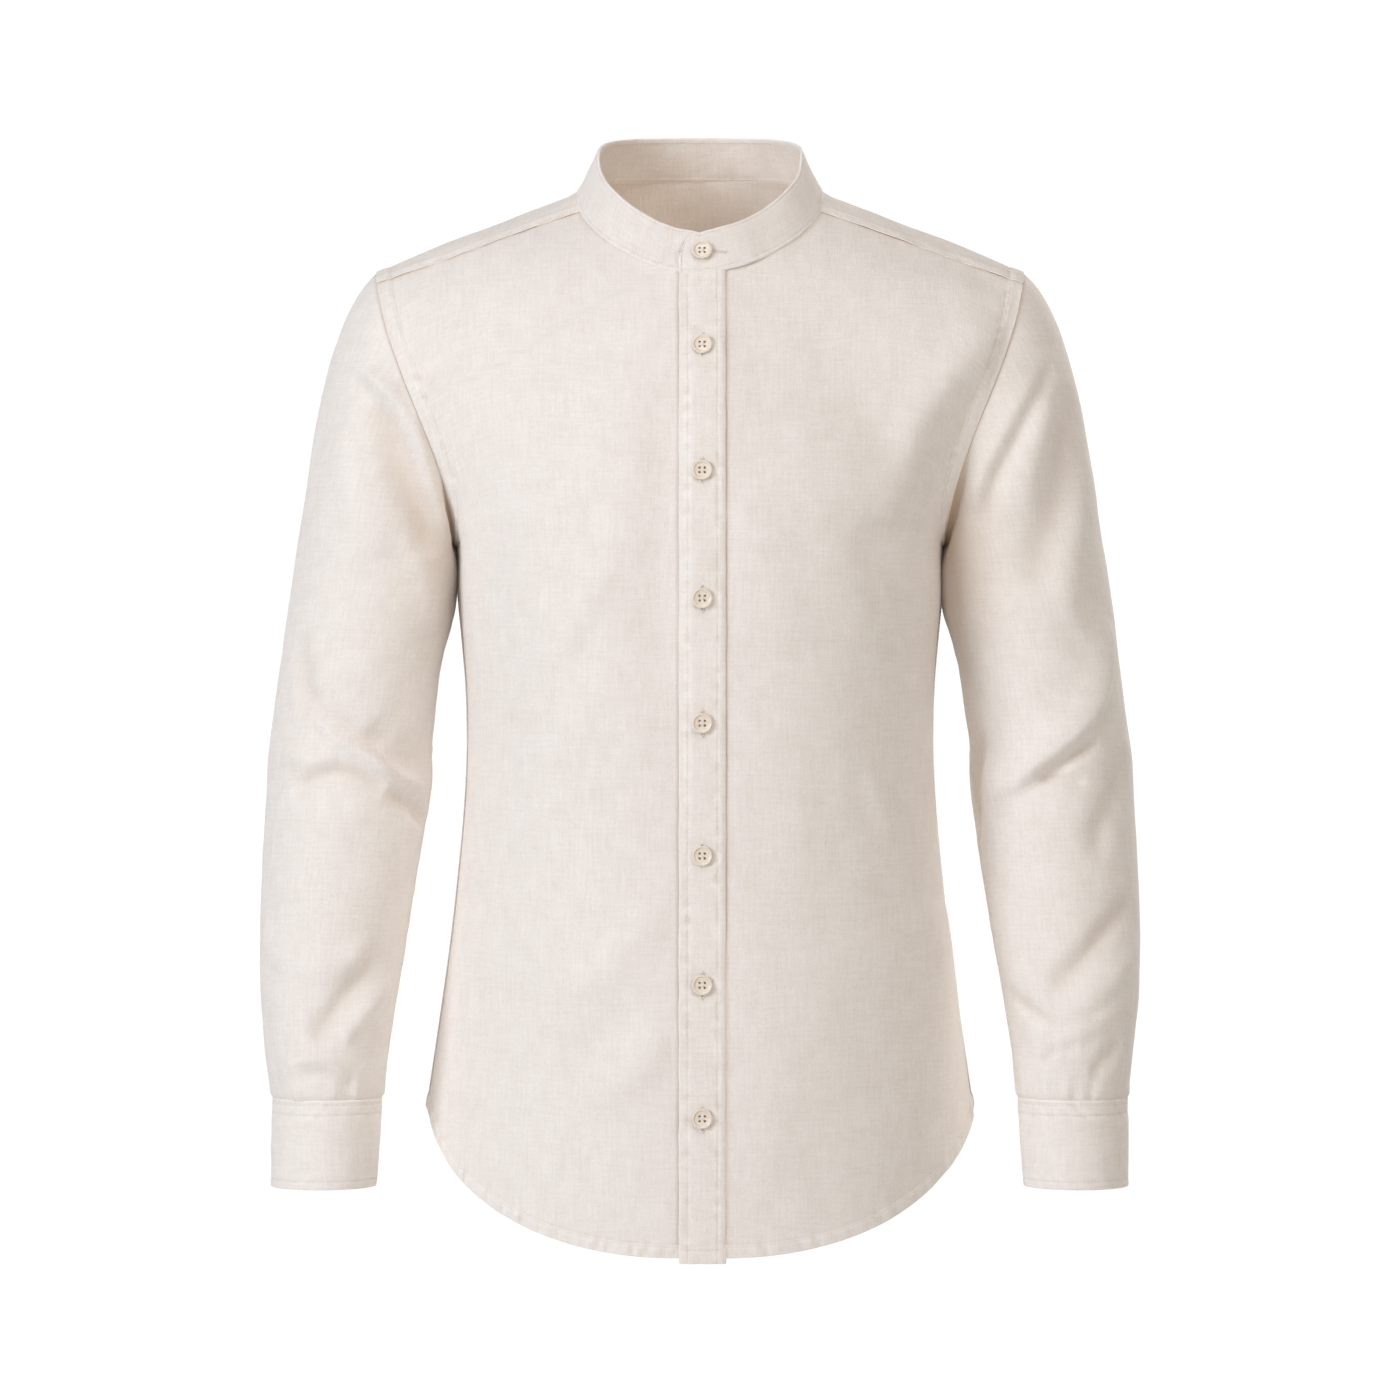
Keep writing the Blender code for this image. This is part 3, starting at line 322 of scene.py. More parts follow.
RIGHT_SLEEVE_CREASES = (
    crease(0.0055, 0.0063, (46, -0.127), (66, -0.139), (81, -0.156), (98, -0.18), (112, -0.207),
           (128, -0.229), (152, -0.254)),
    crease(0.0045, -0.0032, (46, -0.131), (62, -0.142), (77, -0.157), (87, -0.174)),
    crease(0.012, -0.008, (70, -0.15), (85, -0.175), (99, -0.202), (114, -0.232), (128, -0.262)),
    crease(0.014, 0.004, (48, -0.165), (62, -0.195), (78, -0.23), (92, -0.265)),
    crease(0.008, 0.0042, (99, -0.227), (113, -0.252), (130, -0.281), (146, -0.312)),
    crease(0.009, -0.005, (44, -0.312), (53, -0.352), (72, -0.376), (96, -0.388), (118, -0.398)),
    crease(0.0058, 0.0076, (57, -0.365), (78, -0.382), (101, -0.396), (123, -0.412), (161, -0.425)),
    crease(0.01, -0.0035, (107, -0.377), (128, -0.395), (153, -0.409)),
    crease(0.009, 0.0038, (38, -0.396), (62, -0.402), (86, -0.403)),
    crease(0.0052, -0.0052, (52, -0.428), (66, -0.416), (85, -0.411), (106, -0.416), (122, -0.424)),
    crease(0.006, -0.0049, (120, -0.426), (144, -0.434), (167, -0.449)),
    crease(0.01, 0.0035, (19, -0.523), (65, -0.543), (98, -0.548), (130, -0.532)),
    crease(0.01, -0.0044, (137, -0.534), (116, -0.559), (93, -0.586), (80, -0.598)),
    crease(0.008, 0.0042, (153, -0.557), (128, -0.579), (106, -0.598)),
    crease(0.006, 0.0035, (40, -0.627), (68, -0.611), (91, -0.613), (117, -0.627)),
    crease(0.005, -0.0022, (72, -0.622), (88, -0.619), (104, -0.624), (118, -0.634)),
    crease(0.012, 0.0076, (195, -0.4), (227, -0.394), (260, -0.395)),
    crease(0.01, -0.0076, (205, -0.425), (239, -0.415), (275, -0.412)),
    crease(0.014, -0.0059, (200, -0.56), (246, -0.515), (300, -0.48)),
)
LEFT_SLEEVE_CREASES = (
    crease(0.0065, 0.0038, (51, -0.132), (69, -0.154), (86, -0.179), (104, -0.206), (116, -0.23)),
    crease(0.0052, -0.0056, (40, -0.123), (65, -0.153), (83, -0.182), (100, -0.21), (114, -0.242)),
    crease(0.01, 0.0034, (46, -0.149), (66, -0.176), (78, -0.201), (90, -0.23)),
    crease(0.013, -0.0046, (26, -0.14), (41, -0.168), (60, -0.216), (80, -0.259), (92, -0.29)),
    crease(0.013, 0.0026, (18, -0.19), (42, -0.235), (62, -0.275), (74, -0.312)),
    crease(0.011, 0.0068, (24, -0.305), (35, -0.329), (52, -0.361), (72, -0.382), (96, -0.402),
           (117, -0.418), (150, -0.431), lean=0.45),
    crease(0.005, -0.0047, (57, -0.388), (74, -0.397), (92, -0.409), (104, -0.417)),
    crease(0.0045, -0.0039, (115, -0.424), (100, -0.416), (86, -0.415), (69, -0.42)),
    crease(0.01, -0.0036, (24, -0.391), (42, -0.425), (60, -0.45), (66, -0.474)),
    crease(0.009, -0.0052, (30, -0.499), (56, -0.518), (82, -0.542), (116, -0.567)),
    crease(0.01, 0.0036, (20, -0.53), (47, -0.551), (77, -0.57), (105, -0.582)),
    crease(0.0055, -0.0034, (167, -0.561), (136, -0.575), (109, -0.589)),
    crease(0.007, 0.0029, (116, -0.613), (100, -0.598), (73, -0.587), (38, -0.571)),
    crease(0.0045, -0.0031, (127, -0.617), (112, -0.606), (89, -0.601)),
    crease(0.0075, -0.003, (40, -0.598), (58, -0.61), (77, -0.623)),
    crease(0.008, -0.0048, (150, -0.38), (164, -0.419), (175, -0.46)),
    crease(0.012, 0.0076, (195, -0.402), (233, -0.4), (270, -0.405)),
    crease(0.01, -0.0076, (205, -0.425), (245, -0.424), (285, -0.43)),
    crease(0.014, -0.0059, (210, -0.5), (264, -0.533), (310, -0.575)),
)

# Beside the placket a front has a shallow groove (raised where its depth is negative) and a line of shade
Front = namedtuple("Front", "name side strip_angle seed groove_x groove_depth groove_half shade_x")
FRONTS = (
    Front("front_left", 1, 7.0, 1, PLACKET_RIGHT + 0.0012, -0.0003, 0.0020, PLACKET_RIGHT + 0.0006),
    Front("front_right", -1, -6.5, 11, PLACKET_LEFT - 0.0030, 0.0004, 0.0030, PLACKET_LEFT - 0.0006),
)
# A sleeve has shade in the armpit, a bulge below it, and a fold beside it that starts at an angle
Sleeve = namedtuple("Sleeve", "name side creases seed armpit_shade bulge fold_start")
SLEEVES = (
    Sleeve("left", 1, LEFT_SLEEVE_CREASES, 61, 2.40, 0.0042, 98),
    Sleeve("right", -1, RIGHT_SLEEVE_CREASES, 71, 1.44, 0.0028, 118),
)


# Curves and tables, for whole arrays of places


def smooth_at(places, values, at):
    """Values of a smooth curve through the given ones, with the places rising."""
    places, values = np.asarray(places, float), np.asarray(values, float)
    last = len(places) - 1
    slopes = np.empty_like(values)
    slopes[1:-1] = (values[2:] - values[:-2]) / (places[2:] - places[:-2])
    slopes[0] = (values[1] - values[0]) / (places[1] - places[0])
    slopes[-1] = (values[-1] - values[-2]) / (places[-1] - places[-2])
    at = np.asarray(at, float)
    i = np.clip(np.searchsorted(places, at, side="right") - 1, 0, last - 1)
    span = places[i + 1] - places[i]
    t = np.clip((at - places[i]) / span, 0, 1)
    start = (1 + 2 * t) * (1 - t) ** 2 * values[i] + t * (1 - t) ** 2 * span * slopes[i]
    end = t * t * (3 - 2 * t) * values[i + 1] + t * t * (t - 1) * span * slopes[i + 1]
    return start + end


def read(table, column, at):
    """A column of a table at places between its rows."""
    places = next(iter(table.values()))
    return smooth_at(places, table[column], at)


def bezier(p0, p1, p2, p3, t):
    s = 1 - t
    return s**3 * p0 + 3 * s * s * t * p1 + 3 * s * t * t * p2 + t**3 * p3


def ease(t):
    """From 0 to 1 with level ends."""
    t = np.clip(t, 0, 1)
    return t * t * (3 - 2 * t)


def bell(away, half):
    """1 in the middle, falling off smoothly on both sides. The half width is where it is down to 0.37."""
    return np.exp(-((away / half) ** 2))


def mix(a, b, t):
    return a + (b - a) * t


def turn(angle):
    """Cosine and sine of an angle in degrees."""
    return np.cos(np.radians(angle)), np.sin(np.radians(angle))


def stack(*parts):
    return np.stack(np.broadcast_arrays(*parts), -1)


def unit(vectors):
    return vectors / np.maximum(np.linalg.norm(vectors, axis=-1, keepdims=True), 1e-12)


def spread(*marks):
    """Places along a line. Each mark is (place, the step after it), and the last one ends the line."""
    parts = []
    for (start, step), (end, _) in zip(marks, marks[1:]):
        parts.append(np.linspace(start, end, max(round((end - start) / step), 1), endpoint=False))
    return np.concatenate(parts + [[marks[-1][0]]])


def shares(*marks):
    """The same places as shares of the line's length."""
    return spread(*marks) / marks[-1][0]


def lumps(a, b, kind, seed):
    """Smooth noise, in lumps of the kind's size and up to its height."""
    cells = 64
    table = np.random.default_rng(seed).uniform(-1, 1, (cells, cells))
    x, y = np.asarray(a) / kind.size, np.asarray(b) / kind.size
    i, j = np.floor(x).astype(int), np.floor(y).astype(int)
    s, t = ease(x - i), ease(y - j)
    near = mix(table[i % cells, j % cells], table[(i + 1) % cells, j % cells], s)
    far = mix(table[i % cells, (j + 1) % cells], table[(i + 1) % cells, (j + 1) % cells], s)
    return kind.height * mix(near, far, t)


# The loops and surfaces that the panels share


def neck(angle):
    c, s = turn(angle)
    y = NECK_MIDDLE_Y - NECK_HALF_DEPTH * c
    return stack(NECK_HALF_WIDTH * s, y, read(NECK_HEIGHTS, "z", c))


def armhole(phi):
    c, s = turn(phi)
    down = (1 - c) / 2
    x = ARMHOLE_TOP_X - ARMHOLE_SLANT * ease(down) + ARMHOLE_FLARE * (1 - down) ** 8
    depth = np.where(s > 0, ARMHOLE_DEPTH_FRONT, ARMHOLE_DEPTH_BACK)
    return stack(x, SIDE_Y - depth * s, ARMHOLE_MIDDLE_Z + ARMHOLE_HALF_HEIGHT * c)


def side_seam(z):
    return stack(read(SIDE_SEAM, "x", z), SIDE_Y, z)


def body_edge(v, top_phi):
    """The outer edge of a front or of the back: up the side seam, then round the armhole."""
    low = side_seam(mix(HEM_CORNER, UNDERARM, np.minimum(v / V_UNDERARM, 1)))
    high = armhole(mix(180, top_phi, np.maximum((v - V_UNDERARM) / (1 - V_UNDERARM), 0)))
    return np.where((v <= V_UNDERARM)[..., None], low, high)


def rows_between(handles, v, inner, outer, u):
    """Each row of a panel is one Bezier curve from its inner to its outer end."""
    into = stack(*[read(handles, name, v) for name in ("in_x", "in_y", "in_z")])
    out = stack(*[read(handles, name, v) for name in ("out_x", "out_y", "out_z")])
    ends = [p[:, None] for p in (inner, inner + into, outer + out, outer)]
    return bezier(*ends, u[None, :, None])


def centre_front(z):
    return read(CENTRE_FRONT, "y", z)


def front_angle(v):
    start = math.degrees(math.asin(STRIP_HALF / NECK_HALF_WIDTH))
    return mix(start, YOKE_SEAM_ANGLE, (v - V_NECK) / (1 - V_NECK))


def ring(table, z, phi, out=0.0):
    c, s = turn(phi)
    x = read(table, "x", z) + (read(table, "half_width", z) + out) * c
    y = read(table, "y", z) - (read(table, "half_depth", z) + out) * s
    return stack(x, y, z)


def sleeve_form(phi, s):
    """phi and s are arrays of one shape: the angle round the arm, and the way down it from 0 to 1."""
    z = mix(CAP_END, SLEEVE_END, np.maximum(s - CAP_SHARE, 0) / (1 - CAP_SHARE))
    c, sine = turn(phi)
    top = ((1 + c) / 2)[..., None]
    under = CAP_LEAVES_UNDER + stack(0 * sine, CAP_SPREAD * sine, 0 * sine)
    leaving = unit(mix(under, CAP_LEAVES_TOP, top**CAP_TURN))
    start, end = armhole(phi), ring(ARM, CAP_END, phi)
    first = start + leaving * mix(CAP_UNDER_HANDLE, CAP_LEAVING_HANDLE, top)
    second = end - CAP_ARRIVES * mix(CAP_UNDER_HANDLE, CAP_ARRIVING_HANDLE, top)
    cap = bezier(start, first, second, end, np.minimum(s / CAP_SHARE, 1)[..., None])
    return np.where((s < CAP_SHARE)[..., None], cap, ring(ARM, z, phi))


def band_form(angle, h, out=0.0):
    """The collar band. h runs from the neck seam (0) to the top edge (1)."""
    c, s = turn(angle)
    bottom = neck(angle)
    near = np.abs(np.remainder(angle + 180, 360) - 180)
    x, y = BAND_TOP_HALF_WIDTH * s, BAND_TOP_MIDDLE_Y - BAND_TOP_HALF_DEPTH * c
    top = stack(x, y, bottom[..., 2] + BAND_RISE - BAND_DIP * np.exp(-near / BAND_DIP_ANGLE))
    rise = top - bottom
    normal = unit(np.cross(stack(NECK_HALF_WIDTH * c, NECK_HALF_DEPTH * s, 0 * s), rise))
    return bottom + rise * np.asarray(h)[..., None] + normal * np.asarray(out)[..., None]


def placket_point(x, z, out=LAY_GAP + STRIP):
    """A point on the front placket, and the direction outwards there."""
    slope = (centre_front(z + 0.01) - centre_front(z - 0.01)) / 0.02
    normal = unit(stack(0 * z, -1 + 0 * z, slope))
    return stack(x, centre_front(z), z) + normal * out, normal


# Grids of points and what is worked out on them


def mirrored(grid):
    return grid * np.array((-1, 1, 1))


def on_side(side, *grids):
    """Grids made for the wearer's left, kept (1) or mirrored to the right (-1)."""
    return [grid * np.array((side, 1, 1)) for grid in grids]


def arc(grid, axis):
    """Distance along the rows (axis 1) or columns (axis 0) from their start."""
    steps = np.nan_to_num(np.linalg.norm(np.diff(grid, axis=axis), axis=-1))
    start = np.zeros_like(np.take(steps, [0], axis))
    return np.concatenate([start, np.cumsum(steps, axis)], axis)


def distances(grid):
    """Distances up the columns and along the rows, and those left to the grid's top and to its end."""
    up, along = arc(grid, 0), arc(grid, 1)
    return up, along, up[-1:] - up, along[:, -1:] - along


def normals_of(grid, wrap=False, flip=False):
    """Unit normals of a grid, to the side of its rows turned towards its columns' direction."""
    if wrap:
        around = np.roll(grid, -1, 1) - np.roll(grid, 1, 1)
    else:
        padded = np.concatenate([grid[:, :1], grid, grid[:, -1:]], 1)
        around = padded[:, 2:] - padded[:, :-2]
    padded = np.concatenate([grid[:1], grid, grid[-1:]], 0)
    normals = unit(np.cross(around, padded[2:] - padded[:-2]))
    return -normals if flip else normals


def evened(grid, rounds, flip=False):
    """The grid with its surface evened out inside its edges, where rows or columns kink."""
    for _ in range(rounds):
        middle = (grid[:-2, 1:-1] + grid[2:, 1:-1] + grid[1:-1, :-2] + grid[1:-1, 2:]) / 4
        normal = normals_of(grid, flip=flip)[1:-1, 1:-1]
        push = ((middle - grid[1:-1, 1:-1]) * normal).sum(-1, keepdims=True)
        grid = grid.copy()
        grid[1:-1, 1:-1] += np.nan_to_num(normal * push * 0.5)
    return grid


def crease_height(creases, a, z, metres_per_a=1.0):
    """How far the creases push the cloth out, at arrays of places."""
    total = np.zeros(np.shape(a))
    place = stack(a * metres_per_a, z)
    for c in creases:
        path = np.array(c.path, float) * (metres_per_a, 1)
        at = np.linspace(0, len(path) - 1, CREASE_PARTS * (len(path) - 1) + 1)
        knots = stack(*[smooth_at(np.arange(len(path)), column, at) for column in path.T])
        nearest, along = np.full(np.shape(a), 1e9), np.zeros(np.shape(a))
        for k, (p, q) in enumerate(zip(knots, knots[1:])):
            way = q - p
            t = np.clip(((place - p) @ way) / (way @ way), 0, 1)
            away = place - p - t[..., None] * way
            side = np.sign(way[0] * away[..., 1] - way[1] * away[..., 0])
            distance = np.linalg.norm(away, axis=-1) / (c.width * (1 + c.lean * side))
            closer = distance < nearest
            nearest = np.where(closer, distance, nearest)
            along = np.where(closer, (k + t) / (len(knots) - 1), along)
        total += c.height * np.exp(-nearest * nearest) * (1 - (2 * along - 1) ** 4)
    return total


def pucker(along, away, ripple, seed):
    """Small ripples across a stitched line, fading to both sides of it."""
    return lumps(along, 0 * along, ripple, seed) * bell(away, ripple.reach)


def groove(away, depth, half=GROOVE_HALF):
    """The line that a row of stitches pulls into the cloth."""
    return depth * bell(away, half)


def felled(away, width):
    """A band along an edge, raised by its turnings, with the stitched groove at its inner edge."""
    raised = SEAM_HEIGHT * ease((width + 0.0006 - away) / 0.0010)
    return raised - groove(away - width + STITCH_INSET, FELLED_GROOVE)


def place_on(grid, i, j):
    """Points of a grid at fractional rows and columns."""
    i = np.clip(i, 0, grid.shape[0] - 1.001)
    j = np.clip(j, 0, grid.shape[1] - 1.001)
    r, c = np.floor(i).astype(int), np.floor(j).astype(int)
    s, t = (i - r)[:, None], (j - c)[:, None]
    near = mix(grid[r, c], grid[r, c + 1], t)
    return mix(near, mix(grid[r + 1, c], grid[r + 1, c + 1], t), s)


def row_where(field, value):
    """For each column, the fractional row where a rising field has the value."""
    rows = np.arange(field.shape[0])
    return np.array([np.interp(value, column, rows) for column in field.T])


def column_where(field, value):
    """For each row, the fractional column where a field that falls along it has the value."""
    columns = np.arange(field.shape[1])[::-1]
    return np.array([np.interp(value, row[::-1], columns) for row in field])


def index_at(value, places):
    """The fractional row or column of a value among rising places."""
    return np.interp(value, places, np.arange(len(places)))


# Meshes


def shell(grid, uv, painted_shading, thickness=WALL, wrap=False, flip=False, weld=False):
    """Points, faces, the faces' UVs and the points' painted shading, for a closed shell inwards of a grid.

    A place that is NaN is left out. uv has one more column than a grid that wraps round.
    """
    valid = ~np.isnan(grid[..., 0])
    index = np.full(valid.shape, -1)
    index[valid] = np.arange(valid.sum())
    points = np.concatenate([grid[valid], painted_shading[valid][:, None]], 1)
    following = np.roll(index, -1, 1) if wrap else index[:, 1:]
    here = index if wrap else index[:, :-1]
    quads = np.stack([here[:-1], following[:-1], following[1:], here[1:]], -1)
    corners = np.stack([uv[:-1, :-1], uv[:-1, 1:], uv[1:, 1:], uv[1:, :-1]], 2)
    keep = (quads >= 0).all(-1)
    quads, corners = quads[keep], corners[keep]
    if weld:
        points, quads = welded(points, quads)
    return closed(points, quads, corners, thickness, flip)


def welded(points, quads):
    """Points at one place become one, as where two halves meet."""
    places = np.round(points[:, :3], 6)
    _, first, index = np.unique(places, axis=0, return_index=True, return_inverse=True)
    return points[first], index.reshape(-1)[quads]


def closed(points, quads, corners, thickness, flip):
    """The shell of quads whose points are x, y, z and painted shading, with a rounded rim."""
    painted_shading, points = points[:, 3], points[:, :3]
    if flip:
        quads, corners = quads[:, ::-1], corners[:, ::-1]
    diagonals = [points[quads[:, k + 2]] - points[quads[:, k]] for k in (0, 1)]
    across = np.cross(*diagonals)
    normals = np.zeros_like(points)
    for k in range(4):
        np.add.at(normals, quads[:, k], across)
    normals = unit(normals)
    # Directed edges that no neighbour shares are the rim
    count = len(points)
    starts, ends = quads.ravel(), np.roll(quads, -1, 1).ravel()
    start_uv, end_uv = corners.reshape(-1, 2), np.roll(corners, -1, 1).reshape(-1, 2)
    rim = ~np.isin(starts * count + ends, ends * count + starts)
    a, b, uv_a, uv_b = starts[rim], ends[rim], start_uv[rim], end_uv[rim]
    edge_out = unit(np.cross(unit(points[b] - points[a]), normals[a]))
    outwards = np.zeros_like(points)
    for ends_of_edges in (a, b):
        np.add.at(outwards, ends_of_edges, edge_out)
    outwards = unit(outwards)
    rim_points = np.unique(a)
    number = np.full(count, -1)
    number[rim_points] = np.arange(len(rim_points))
    levels = [points]
    middle = points[rim_points] - normals[rim_points] * thickness / 2
    for k in range(1, RIM_STEPS):
        c, s = turn(180 * k / RIM_STEPS)
        levels.append(middle + (normals[rim_points] * c + outwards[rim_points] * s) * thickness / 2)
    levels.append(points - normals * thickness)
    offsets = np.cumsum([0] + [len(level) for level in levels])
    faces, face_uv = [quads, quads[:, ::-1] + offsets[RIM_STEPS]], [corners, corners[:, ::-1]]
    for k in range(RIM_STEPS):
        upper, lower = np.stack([b, a]), np.stack([a, b])
        if k > 0:
            upper = number[upper]
        if k < RIM_STEPS - 1:
            lower = number[lower]
        faces.append(np.concatenate([offsets[k] + upper, offsets[k + 1] + lower]).T)
        face_uv.append(np.stack([uv_b, uv_a, uv_a, uv_b], 1))
    # The rim gets the full painted highlight along the folded edges, and the inner side gets no painted
    # shading
    rim_highlight = np.ones(len(rim_points) * (RIM_STEPS - 1))
    painted_shading = np.concatenate([painted_shading, rim_highlight, np.zeros(len(points))])
    return np.concatenate(levels), np.concatenate(faces), np.concatenate(face_uv), painted_shading


def add_object(name, data):
    obj = bpy.data.objects.new(name, data)
    bpy.context.scene.collection.objects.link(obj)
    return obj


def add_mesh(name, points, faces, material, face_uv=None, painted_shading=None):
    mesh = bpy.data.meshes.new(name)
    mesh.from_pydata(points.tolist(), [], faces.tolist())
    if face_uv is not None:
        layer = mesh.uv_layers.new(name="Cloth")
        layer.data.foreach_set("uv", face_uv.astype(np.float32).ravel())
    # Painted shading for each point: painted highlight above 0, painted shade below
    if painted_shading is not None:
        layer = mesh.attributes.new(name="PaintedShading", type="FLOAT", domain="POINT")
        layer.data.foreach_set("value", painted_shading.astype(np.float32))
    mesh.shade_smooth()
    mesh.materials.append(material)
    obj = add_object(name, mesh)
    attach(obj, "root")
    return obj


def cloth_mesh(name, grid, uv, push, cloth=None, shade=0, **settings):
    """A shell of cloth. It gets a painted highlight where the push raises it above its surroundings and
    painted shade where it sinks, with the given painted shade added in its hollows.
    """
    level = push
    for _ in range(4):
        padded = np.pad(level, 1, mode="edge")
        level = (padded[:-2, 1:-1] + padded[2:, 1:-1] + padded[1:-1, :-2] + padded[1:-1, 2:]) / 4
    # Painted highlight where the cloth stands above its smoothed level, painted shade where it sinks below
    # it, plus the given painted shade
    painted_shading = np.clip(np.nan_to_num(push - level) / PAINTED_SHADING_HEIGHT, -1, 1) + shade
    points, faces, face_uv, painted_shading = shell(grid, uv, painted_shading, **settings)
    return add_mesh(name, points, faces, cloth or CLOTH, face_uv, painted_shading)


# Stitches


def sewn(grid, normals, i, j, pitch=0.0027, length=0.0021):
    """Starts, ends and upward directions of stitches along a line of fractional rows and columns."""
    i, j = np.broadcast_arrays(i, j)
    line, out = place_on(grid, i, j), place_on(normals, i, j)
    steps = np.linalg.norm(np.diff(line, axis=0), axis=1)
    place = np.concatenate([[0], np.cumsum(steps)])
    count = max(int((place[-1] - length) / pitch), 0)
    at = (np.arange(count) + 0.5) * pitch
    begin, end, up = [
        np.stack([np.interp(where, place, values[:, k]) for k in range(3)], 1)
        for where, values in ((at, line), (at + length, line), (at + length / 2, out))
    ]
    return begin, end, unit(up)


def threads(name, pieces, half=0.00022, rise=0.00018):
    """One mesh of short arched threads. Each piece is arrays of starts, ends and upward directions."""
    begin, end, up = [np.concatenate(part) for part in zip(*pieces)]
    along = unit(end - begin)
    across = np.cross(up, along)
    points = []
    for t, height, size in ((0, -1.1, 0.5), (0.28, 0.9, 1.0), (0.72, 0.9, 1.0), (1, -1.1, 0.5)):
        middle = mix(begin, end, t) + up * (height * rise)
        for c, s in ((1, 0), (0, 1), (-1, 0), (0, -1)):
            points.append(middle + (across * c + up * s) * half * size)
    points = np.stack(points, 1).reshape(-1, 3)
    faces = [(0, 1, 2, 3), (15, 14, 13, 12)]
    for k in range(3):
        for m in range(4):
            faces.append((4 * k + m, 4 * k + m + 4, 4 * k + (m + 1) % 4 + 4, 4 * k + (m + 1) % 4))
    faces = (np.arange(len(begin))[:, None, None] * 16 + np.array(faces)).reshape(-1, 4)
    return add_mesh(name, points, faces, THREAD)


def stitches(name, grid, normals, lines):
    pieces = [sewn(grid, normals, i, j) for i, j in lines]
    return threads(name + "_stitches", pieces)


# Materials


def add_node(tree, kind, inputs=(), **settings):
    """A node whose inputs are each linked to a socket, or set to a value."""
    node = tree.nodes.new(kind)
    for key, value in settings.items():
        setattr(node, key, value)
    for key, value in dict(inputs).items():
        if isinstance(value, bpy.types.NodeSocket):
            tree.links.new(value, node.inputs[key])
        else:
            node.inputs[key].default_value = value
    return node


class Shader:
    """A Principled material, and helpers that add nodes to it."""

    def __init__(self, name, colour, **settings):
        self.material = bpy.data.materials.new(name)
        self.material.use_nodes = True
        self.tree = self.material.node_tree
        self.shader = self.tree.nodes["Principled BSDF"]
        self.shader.inputs["Base Color"].default_value = (*colour, 1)
        for key, value in settings.items():
            socket = key.replace("_", " ").title().replace("Ior", "IOR")
            self.shader.inputs[socket].default_value = value
        self.material.diffuse_color = (*colour, 1)

    def add(self, kind, inputs=(), **settings):
        return add_node(self.tree, kind, inputs, **settings)

    def math(self, operation, a, b, **settings):
        return self.add("ShaderNodeMath", {0: a, 1: b}, operation=operation, **settings).outputs[0]

    def noise(self, place, scale, detail=1.0, roughness=0.5):
        """Noise about 0. scale is lumps per metre each way."""
        moved = self.add("ShaderNodeVectorMath", {0: place, 1: scale}, operation="MULTIPLY")
        inputs = {"Vector": moved.outputs[0], "Scale": 1.0, "Detail": detail, "Roughness": roughness}
        made = self.add("ShaderNodeTexNoise", inputs, noise_dimensions="3D")
        return self.math("SUBTRACT", made.outputs["Fac"], 0.5)

    def total(self, *weighted):
        """The sum of noises, each with its weight."""
        result = 0.0
        for value, weight in weighted:
            result = self.math("ADD", self.math("MULTIPLY", value, weight), result)
        return result

    def blend(self, factor, under, over):
        """Makes the base colour a blend of two, each a colour or a socket."""
        node = self.add("ShaderNodeMix", {0: factor, 6: under, 7: over}, data_type="RGBA")
        self.tree.links.new(node.outputs[2], self.shader.inputs["Base Color"])

    def colour(self, tone, dark, light, middle=0.5):
        """A base colour from dark to light with a tone about 0."""
        self.blend(self.math("ADD", tone, middle), (*dark, 1), (*light, 1))

    def painted_shading(self, attribute, pale, deep):
        """Painted highlight where the attribute is above 0, and painted shade where it is below."""
        value = self.add("ShaderNodeAttribute", attribute_name=attribute).outputs["Fac"]
        for colour, weight in ((pale, 0.7), (deep, -0.28)):
            below = self.shader.inputs["Base Color"].links[0].from_socket
            amount = self.math("MULTIPLY", value, weight, use_clamp=True)
            self.blend(amount, below, (*colour, 1))

    def bump(self, height, distance):
        node = self.add("ShaderNodeBump", {"Height": height, "Distance": distance, "Strength": 1.0})
        self.tree.links.new(node.outputs[0], self.shader.inputs["Normal"])


def cloth_material(name, dark, light):
    """Plain-woven linen and cotton: uneven threads both ways, slubs, and a soft mottle."""
    finish = {"roughness": 0.92, "sheen_weight": 0.10, "sheen_roughness": 0.5, "specular_ior_level": 0.2}
    made = Shader(name, light, **finish)
    place = made.add("ShaderNodeUVMap", uv_map="Cloth").outputs[0]
    weft = made.noise(place, (110, 1500, 1))
    warp = made.noise(place, (1500, 110, 1))
    slubs = made.noise(place, (40, 520, 1), detail=2.0, roughness=0.6)
    lengthwise = made.noise(place, (520, 36, 1), detail=2.0, roughness=0.6)
    flecks = made.noise(place, (520, 520, 1), detail=2.0, roughness=0.6)
    mottle = made.noise(place, (70, 60, 1), detail=3.0, roughness=0.6)
    wash = made.noise(place, (14, 10, 1), detail=2.0)
    threads_tone = ((weft, 0.32), (warp, 0.45), (slubs, 0.70), (lengthwise, 0.88), (flecks, 0.85))
    tone = made.total(*threads_tone, (mottle, 0.75), (wash, 0.30))
    made.colour(tone, dark, light, middle=0.55)
    # Painted highlight on raised edges and seams, and warm painted shade in grooves, creases and the armpits
    made.painted_shading("PaintedShading", (0.93, 0.905, 0.88), (0.62, 0.47, 0.34))
    height = made.total((weft, 0.8), (warp, 0.8), (slubs, 0.5), (lengthwise, 0.5), (flecks, 0.9))
    made.bump(height, 0.00022)
    return made.material


def thread_material():
    """Twisted sewing thread, a little paler than the cloth."""
    made = Shader("thread", (0.90, 0.86, 0.81), roughness=0.6, sheen_weight=0.2)
    place = made.add("ShaderNodeTexCoord").outputs["Object"]
    twist = made.noise(place, (1800, 1800, 1800))
    made.colour(twist, (0.84, 0.79, 0.73), (0.94, 0.91, 0.87))
    return made.material


